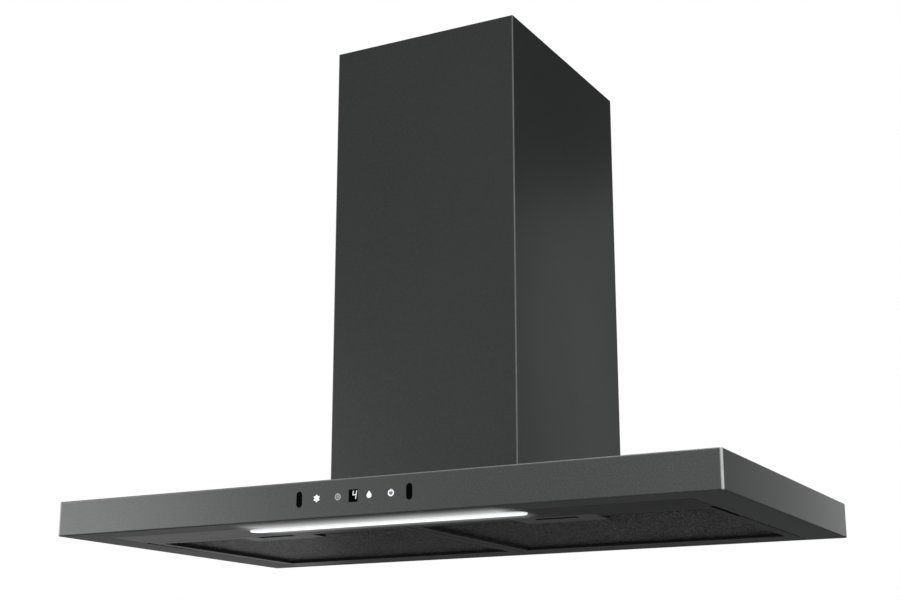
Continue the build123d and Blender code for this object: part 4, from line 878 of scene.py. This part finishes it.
def droplet_sign(bm, centre, face):
    """A round body that is drawn out to a tip."""
    body = arc(DROP_RADIUS, -215, 35, 30, DROP_MIDDLE)
    add_plate(bm, body + DROP_TIP, centre, face, SIGN_THICKNESS)


print("droplet across:", 2 * DROP_RADIUS, "mm")

# %% Draw the power sign
POWER_HOLE = 2.5
POWER_GAP = 20
POWER_STEPS = 50


def power_sign(bm, centre, face):
    """A ring that is open at its top, with a bar in the gap."""
    start = 90 + POWER_GAP
    end = 450 - POWER_GAP
    ring = arc(SIGN_RADIUS, start, end, POWER_STEPS) + arc(POWER_HOLE, end, start, POWER_STEPS)
    bar = [(-0.6, 1.0), (-0.6, 4.55), (0.6, 4.55), (0.6, 1.0)]
    add_plate(bm, ring, centre, face, SIGN_THICKNESS)
    add_plate(bm, bar, centre, face, SIGN_THICKNESS)


print("gap of the power sign:", 2 * POWER_GAP, "degrees")

# %% Make round plates for the light guides' holes
DISC_POINTS = 60


def centre_of(guide):
    """The middle of a light guide's hole, as x and z."""
    low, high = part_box(guide)
    return ((low.x + high.x) / 2, (low.z + high.z) / 2)


def round_plate(guide, kind, radius, depth, thickness, finish):
    """A round plate in a light guide's hole, this deep under the fascia's face."""
    bm = bmesh.new()
    outline = circle(radius, DISC_POINTS)
    add_plate(bm, outline, centre_of(guide), FRONT_FACE + depth, thickness)
    name = guide + kind
    return new_piece(name, mesh_from(bm, name), "root", finishes[finish])


print("points round a plate:", DISC_POINTS)

# %% Set discs and signs in the fascia
SIGNS = {
    "icon_fan": (fan_sign, "lit_icon"),
    "icon_clock": (clock_sign, "grey_icon"),
    "icon_droplet": (droplet_sign, "lit_icon"),
    "icon_power": (power_sign, "lit_icon"),
}
DISC_RADIUS = 4.6
DISC_DEPTH = 0.3 * MM
DISC_THICKNESS = 0.6 * MM
SIGN_DEPTH = 0.12 * MM
for guide, (draw, slot) in SIGNS.items():
    disc = round_plate(guide, "_disc", DISC_RADIUS, DISC_DEPTH, DISC_THICKNESS,
                       "canopy_steel")
    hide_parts(guide)
    sign = bmesh.new()
    draw(sign, centre_of(guide), FRONT_FACE + SIGN_DEPTH)
    new_piece(guide + "_sign", mesh_from(sign, guide + "_sign"), "root", finishes[slot])
print("signs:", len(SIGNS), "on discs of", 2 * DISC_RADIUS, "mm")

# %% Set the dials between them
DIAL_DEPTH = 1.5 * SIGN_DEPTH
DIAL_RADII = {"icon_clock": 3.1, "icon_power": 2.6}
for guide, radius in DIAL_RADII.items():
    round_plate(guide, "_dial", radius, DIAL_DEPTH, SIGN_THICKNESS, "dim_dial")
print("dials:", len(DIAL_RADII))

# %% [markdown]
# ## The grease filters' mesh
# A grease filter is a pack of expanded aluminium: sheet that is slit and pulled open into
# diamonds. Bump could fake it from afar, but light has to fall through the diamonds when one
# comes close. So the lowest layer is real strands, wavy ribbons that touch their neighbours at
# each crest, in front of a slab that stands for the layers behind. A ribbon is swept through
# rings of four corners.

# %% Sweep a bar
SQUARE = ((-1, -1), (1, -1), (1, 1), (-1, 1))


def sweep(bm, rings):
    """A bar through these rings of corners, closed at both ends."""
    previous = None
    for corners in rings:
        ring = [bm.verts.new(corner) for corner in corners]
        if previous:
            join_rings(bm, previous, ring)
        else:
            bm.faces.new(reversed(ring))
        previous = ring
    bm.faces.new(previous)


print("corners of a ring:", len(SQUARE))

# %% Weave the expanded mesh
DIAMOND_LENGTH = 9.0 * MM
DIAMOND_WIDTH = 4.5 * MM
STRAND = 0.9 * MM
STRAND_DEPTH = 0.8 * MM


def ribbon_rings(start_x, step, columns, middle, swing, floor, row):
    """The rings of one ribbon, which swings to each side in turn and rises as it does."""
    rings = []
    for column in range(columns + 1):
        side = 1 if (column + row) % 2 else -1
        x = start_x + column * step
        y = middle + side * swing
        z = floor + STRAND_DEPTH * (0.5 + 0.25 * side)
        rings.append([(x, y + across * STRAND / 2, z + up * STRAND_DEPTH / 4)
                      for across, up in SQUARE])
    return rings


def expanded_layer(bm, low, high, floor):
    """Ribbons that run along X as zigzags and meet at their crests."""
    columns = max(2, int((high.x - low.x) / (DIAMOND_LENGTH / 2)))
    step = (high.x - low.x) / columns
    rows = max(2, int((high.y - low.y - STRAND) / (DIAMOND_WIDTH / 2)))
    pitch = (high.y - low.y - STRAND) / rows
    for row in range(1, rows):
        middle = low.y + STRAND / 2 + row * pitch
        sweep(bm, ribbon_rings(low.x, step, columns, middle, pitch / 2, floor, row))


print("diamonds:", round(DIAMOND_LENGTH / MM, 1), "by", round(DIAMOND_WIDTH / MM, 1), "mm")

# %% Back the mesh with a slab
LAYER_GAP = 0.25 * MM


def add_slab(bm, low, high):
    """A slab between two corners."""
    made = bmesh.ops.create_cube(bm, size=1.0)["verts"]
    size = high - low
    middle = (low + high) / 2
    placed = Matrix.Translation(middle) @ Matrix.Diagonal((*size, 1))
    bmesh.ops.transform(bm, matrix=placed, verts=made)


print("gap before the slab:", round(LAYER_GAP / MM, 2), "mm")

# %% Lay the mesh packs in their frames
PLATE_GAP = 1.0 * MM
BEHIND = STRAND_DEPTH + LAYER_GAP
for side in ("left", "right"):
    node = "filter_mesh_" + side
    low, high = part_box(node)
    plate_low, plate_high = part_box("latch_plate_" + side)
    notch_rear = plate_high.y + PLATE_GAP
    bm = bmesh.new()
    strands_low = Vector((low.x, notch_rear, low.z))
    expanded_layer(bm, strands_low, high, low.z)
    left_end = Vector((plate_low.x - PLATE_GAP, notch_rear, high.z))
    right_start = Vector((plate_high.x + PLATE_GAP, low.y, low.z))
    expanded_layer(bm, low, left_end, low.z)
    expanded_layer(bm, right_start, Vector((high.x, notch_rear, high.z)), low.z)
    add_slab(bm, Vector((low.x, notch_rear, low.z + BEHIND)), high)
    add_slab(bm, low + Vector((0, 0, BEHIND)), left_end)
    add_slab(bm, right_start + Vector((0, 0, BEHIND)), Vector((high.x, notch_rear, high.z)))
    pack = new_piece("mesh_pack_" + side, mesh_from(bm, "mesh_pack_" + side), "filter_" + side,
                     finishes["filter_mesh"])
    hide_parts(node)
    print(pack.name, "faces:", len(pack.data.polygons))

# %% [markdown]
# ## Painted shade round the mesh
# A thin black strip stands between each mesh pack and the hem of its frame. It is painted shade:
# from below it is the dark line along the far sides of each filter, where the hem's wall lies in
# shade. It follows the window and steps round the latch plate, so it is built from the boxes of
# the frame, the mesh and the plate.

# %% Set the strips of painted shade
SHADE_STRIP = 0.3 * MM
FRAME_BORDER = 14.0 * MM
FRONT_BORDER = 18.5 * MM
REAR_SHIFT = 1.3 * MM
SHADE_STRIP_LIP = 0.4 * MM


def wall_strip(bm, start, end, inward, low, high):
    """A thin upright strip between two points of x and y, with its thickness turned inward."""
    inside = [point + inward for point in (start, end)]
    ring = [start, end, inside[1], inside[0]]
    lower = [bm.verts.new((point.x, point.y, low)) for point in ring]
    upper = [bm.verts.new((point.x, point.y, high)) for point in ring]
    bm.faces.new(lower)
    bm.faces.new(upper)
    join_rings(bm, lower, upper)


for side in ("left", "right"):
    frame_low, frame_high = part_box("filter_frame_" + side)
    mesh_low, mesh_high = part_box("filter_mesh_" + side)
    plate_low, plate_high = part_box("latch_plate_" + side)
    inner_side = min(frame_low.x, frame_high.x, key=abs)
    outer_side = max(frame_low.x, frame_high.x, key=abs)
    turn = 1 if side == "right" else -1
    left, right = sorted((inner_side + turn * FRAME_BORDER, outer_side - turn * FRAME_BORDER))
    front = frame_low.y + FRONT_BORDER
    rear = mesh_high.y - FRAME_BORDER + REAR_SHIFT
    plate_left, plate_right, plate_rear = plate_low.x, plate_high.x, plate_high.y
    outline = [(left, front), (left, rear), (right, rear), (right, front), (plate_right, front),
               (plate_right, plate_rear), (plate_left, plate_rear), (plate_left, front)]
    points = [Vector(point) for point in outline]
    # a black strip of painted shade along the hem's inner wall
    shade_strip = bmesh.new()
    for start, end in zip(points, points[1:] + points[:1]):
        along = (end - start).normalized()
        inward = Vector((along.y, -along.x)) * SHADE_STRIP
        wall_strip(shade_strip, start, end, inward, UNDERSIDE + SHADE_STRIP_LIP, mesh_low.z)
    bmesh.ops.recalc_face_normals(shade_strip, faces=shade_strip.faces)
    new_piece("mesh_shade_strip_" + side, mesh_from(shade_strip, "mesh_shade_strip_" + side), "filter_" + side,
              finishes["shade_strip_black"])
    print("shade_strip", side, [round(value / MM, 1) for value in (left, right, front, rear)])

# %% [markdown]
# ## Latch springs
# Behind each latch bolt sits a wave spring: a strip of spring steel bent into even waves, which
# the bolt presses flat as it is pulled. A rigid piece would be cut through by the bolt, so this
# strip is a new mesh of its own.

# %% Bend a wave spring
SPRING_STRIP = 0.35 * MM
SPRING_WAVES = 2
SPRING_STEPS = 48


def wave_spring(low, high):
    """A strip on edge that swings between the front and the rear of its box."""
    bm = bmesh.new()
    middle = (low.y + high.y) / 2
    swing = (high.y - low.y - SPRING_STRIP) / 2
    rings = []
    for number in range(SPRING_STEPS + 1):
        along = number / SPRING_STEPS
        x = low.x + (high.x - low.x) * along
        y = middle - swing * math.cos(2 * math.pi * SPRING_WAVES * along)
        rings.append([(x, y - SPRING_STRIP / 2, low.z), (x, y + SPRING_STRIP / 2, low.z),
                      (x, y + SPRING_STRIP / 2, high.z), (x, y - SPRING_STRIP / 2, high.z)])
    sweep(bm, rings)
    bmesh.ops.recalc_face_normals(bm, faces=bm.faces)
    return bm


print("waves of a spring:", SPRING_WAVES)

# %% Set the springs behind the bolts
for side in ("left", "right"):
    node = "latch_spring_" + side
    low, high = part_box(node)
    slot = SLOTS[node]
    name = "wave_spring_" + side
    spring = new_piece(name, mesh_from(wave_spring(low, high), name), "filter_" + side,
                       finishes[slot])
    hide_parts(node)
    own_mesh(spring)

# %% [markdown]
# ## The studio
# The hood stands before white, lit by big soft lamps. The backdrop is white only for the camera
# and for what mirrors it, so that it doesn't pour light on the hood. The floor lies well below
# the canopy, as a cooker's top would. It is paler for the camera, and a little paler in
# reflections, than its light makes it. It is clear from below, so that the underside of the hood
# can be looked at from under the floor.

# %% Find what the camera sees
def seen_rays(tree, mirrored_share=1.0):
    """1 for what the camera sees itself or through glass, and a share in what mirrors it."""
    path = add_node(tree, "LightPath")
    mirrored = add_node(tree, "Math", operation="MULTIPLY")
    mirrored.inputs[1].default_value = mirrored_share
    seen = add_node(tree, "Math", operation="MAXIMUM")
    seen_at_all = add_node(tree, "Math", operation="MAXIMUM")
    link = tree.links.new
    link(path.outputs["Is Glossy Ray"], mirrored.inputs[0])
    link(path.outputs["Is Camera Ray"], seen.inputs[0])
    link(mirrored.outputs[0], seen.inputs[1])
    link(seen.outputs[0], seen_at_all.inputs[0])
    link(path.outputs["Is Transmission Ray"], seen_at_all.inputs[1])
    return seen_at_all.outputs[0]


print("seen rays ready")

# %% Set the background
WHITE = (1.0, 1.0, 1.0, 1.0)
AMBIENT = 0.35
world = bpy.data.worlds.new("studio")
bpy.context.scene.world = world
world.use_nodes = True
tree = world.node_tree
background = tree.nodes["Background"]
background.inputs["Color"].default_value = WHITE
level = spread_over(tree, seen_rays(tree), AMBIENT, 1.0)
tree.links.new(level, background.inputs["Strength"])
print("light of the background:", AMBIENT)

# %% Lay the floor
FLOOR_BELOW = 0.72
FLOOR_HALF = 6.0
FLOOR_CELLS = 8
floor_bm = bmesh.new()
bmesh.ops.create_grid(floor_bm, x_segments=FLOOR_CELLS, y_segments=FLOOR_CELLS, size=FLOOR_HALF)
floor = bpy.data.objects.new("floor", mesh_from(floor_bm, "floor"))
bpy.context.scene.collection.objects.link(floor)
floor.location.z = UNDERSIDE - FLOOR_BELOW
print("floor at", round(floor.location.z, 3), "m")

# %% Paint the floor
FLOOR_TONES = (grey(0.74), grey(0.8))
FLOOR_PATCHES = 0.8
FLOOR_ROUGHNESS = 0.9
FLOOR_LIFT = 0.42
MIRRORED_SHARE = 0.3
material, tree, shader = new_material("pale floor")
link = tree.links.new
dark, light = FLOOR_TONES
tone = place_group(tree, tone_group, Dark=dark, Light=light, Size=FLOOR_PATCHES)
link(tone.outputs["Color"], shader.inputs["Base Color"])
shader.inputs["Roughness"].default_value = FLOOR_ROUGHNESS
lift = add_node(tree, "Emission")
lift.inputs["Strength"].default_value = FLOOR_LIFT
seen_lift = add_node(tree, "MixShader")
lifted = add_node(tree, "AddShader")
from_below = add_node(tree, "NewGeometry")
clear = add_node(tree, "BsdfTransparent")
one_sided = add_node(tree, "MixShader")
link(seen_rays(tree, MIRRORED_SHARE), seen_lift.inputs[0])
link(lift.outputs[0], seen_lift.inputs[2])
link(shader.outputs[0], lifted.inputs[0])
link(seen_lift.outputs[0], lifted.inputs[1])
link(from_below.outputs["Backfacing"], one_sided.inputs[0])
link(lifted.outputs[0], one_sided.inputs[1])
link(clear.outputs[0], one_sided.inputs[2])
link(one_sided.outputs[0], tree.nodes["Material Output"].inputs["Surface"])
floor.data.materials.append(material)
print("floor painted")

# %% Hang the lamps
LAMPS = {
    "front left softbox": ((-2.1, -2.3, 0.0), (-0.3, -0.5, -0.2), (0.5, 0.5), 10.2),
    "front strip light": ((-0.2, -2.6, 0.1), (0.3, -0.5, -0.2), (0.4, 0.8), 1.7),
    "rear right strip light": ((0.55, 0.7, 0.15), (0.3, -0.2, 0.15), (0.16, 0.8), 2.3),
    "rear left softbox": ((-2.6, 2.4, -0.7), (-0.2, -0.2, -0.25), (1.2, 1.2), 11.0),
    "overhead softbox": ((0.2, -0.6, 2.6), (0.0, -0.25, 0.0), (1.6, 1.6), 40.0),
}
for name, (place, target, size, power) in LAMPS.items():
    lamp = bpy.data.lights.new(name, "AREA")
    lamp.shape = "RECTANGLE"
    lamp.size, lamp.size_y = size
    lamp.energy = power
    stand = bpy.data.objects.new(name, lamp)
    stand.location = place
    stand.rotation_euler = (Vector(target) - Vector(place)).to_track_quat("-Z", "Y").to_euler()
    stand.visible_camera = False
    bpy.context.scene.collection.objects.link(stand)
print("lamps:", len(LAMPS))

# %% [markdown]
# ## The camera
# The hood is seen from below and from the right. The camera's place came from aligning the
# canopy's corners and the touch controls with the picture. It is tilted up and its lens isn't
# shifted, so that views from other sides stay centred.

# %% Place the camera
CAMERA_PLACE = Vector((0.9533, -2.0376, -0.4786))
TURN = -0.4923
TILT = 0.2647
FOCAL_PIXELS = 1545.0
PICTURE_WIDTH = 900.0
FILM_WIDTH = 36.0
camera_data = bpy.data.cameras.new("camera")
camera_data.sensor_width = FILM_WIDTH
camera_data.lens = FOCAL_PIXELS / PICTURE_WIDTH * FILM_WIDTH
camera = bpy.data.objects.new("camera", camera_data)
camera.location = CAMERA_PLACE
ahead = Vector((math.sin(TURN) * math.cos(TILT), math.cos(TURN) * math.cos(TILT), math.sin(TILT)))
camera.rotation_mode = "QUATERNION"
camera.rotation_quaternion = ahead.to_track_quat("-Z", "Y")
bpy.context.scene.collection.objects.link(camera)
bpy.context.scene.camera = camera
bpy.context.scene.view_settings.view_transform = "Standard"
print("lens:", round(camera_data.lens, 1), "mm")
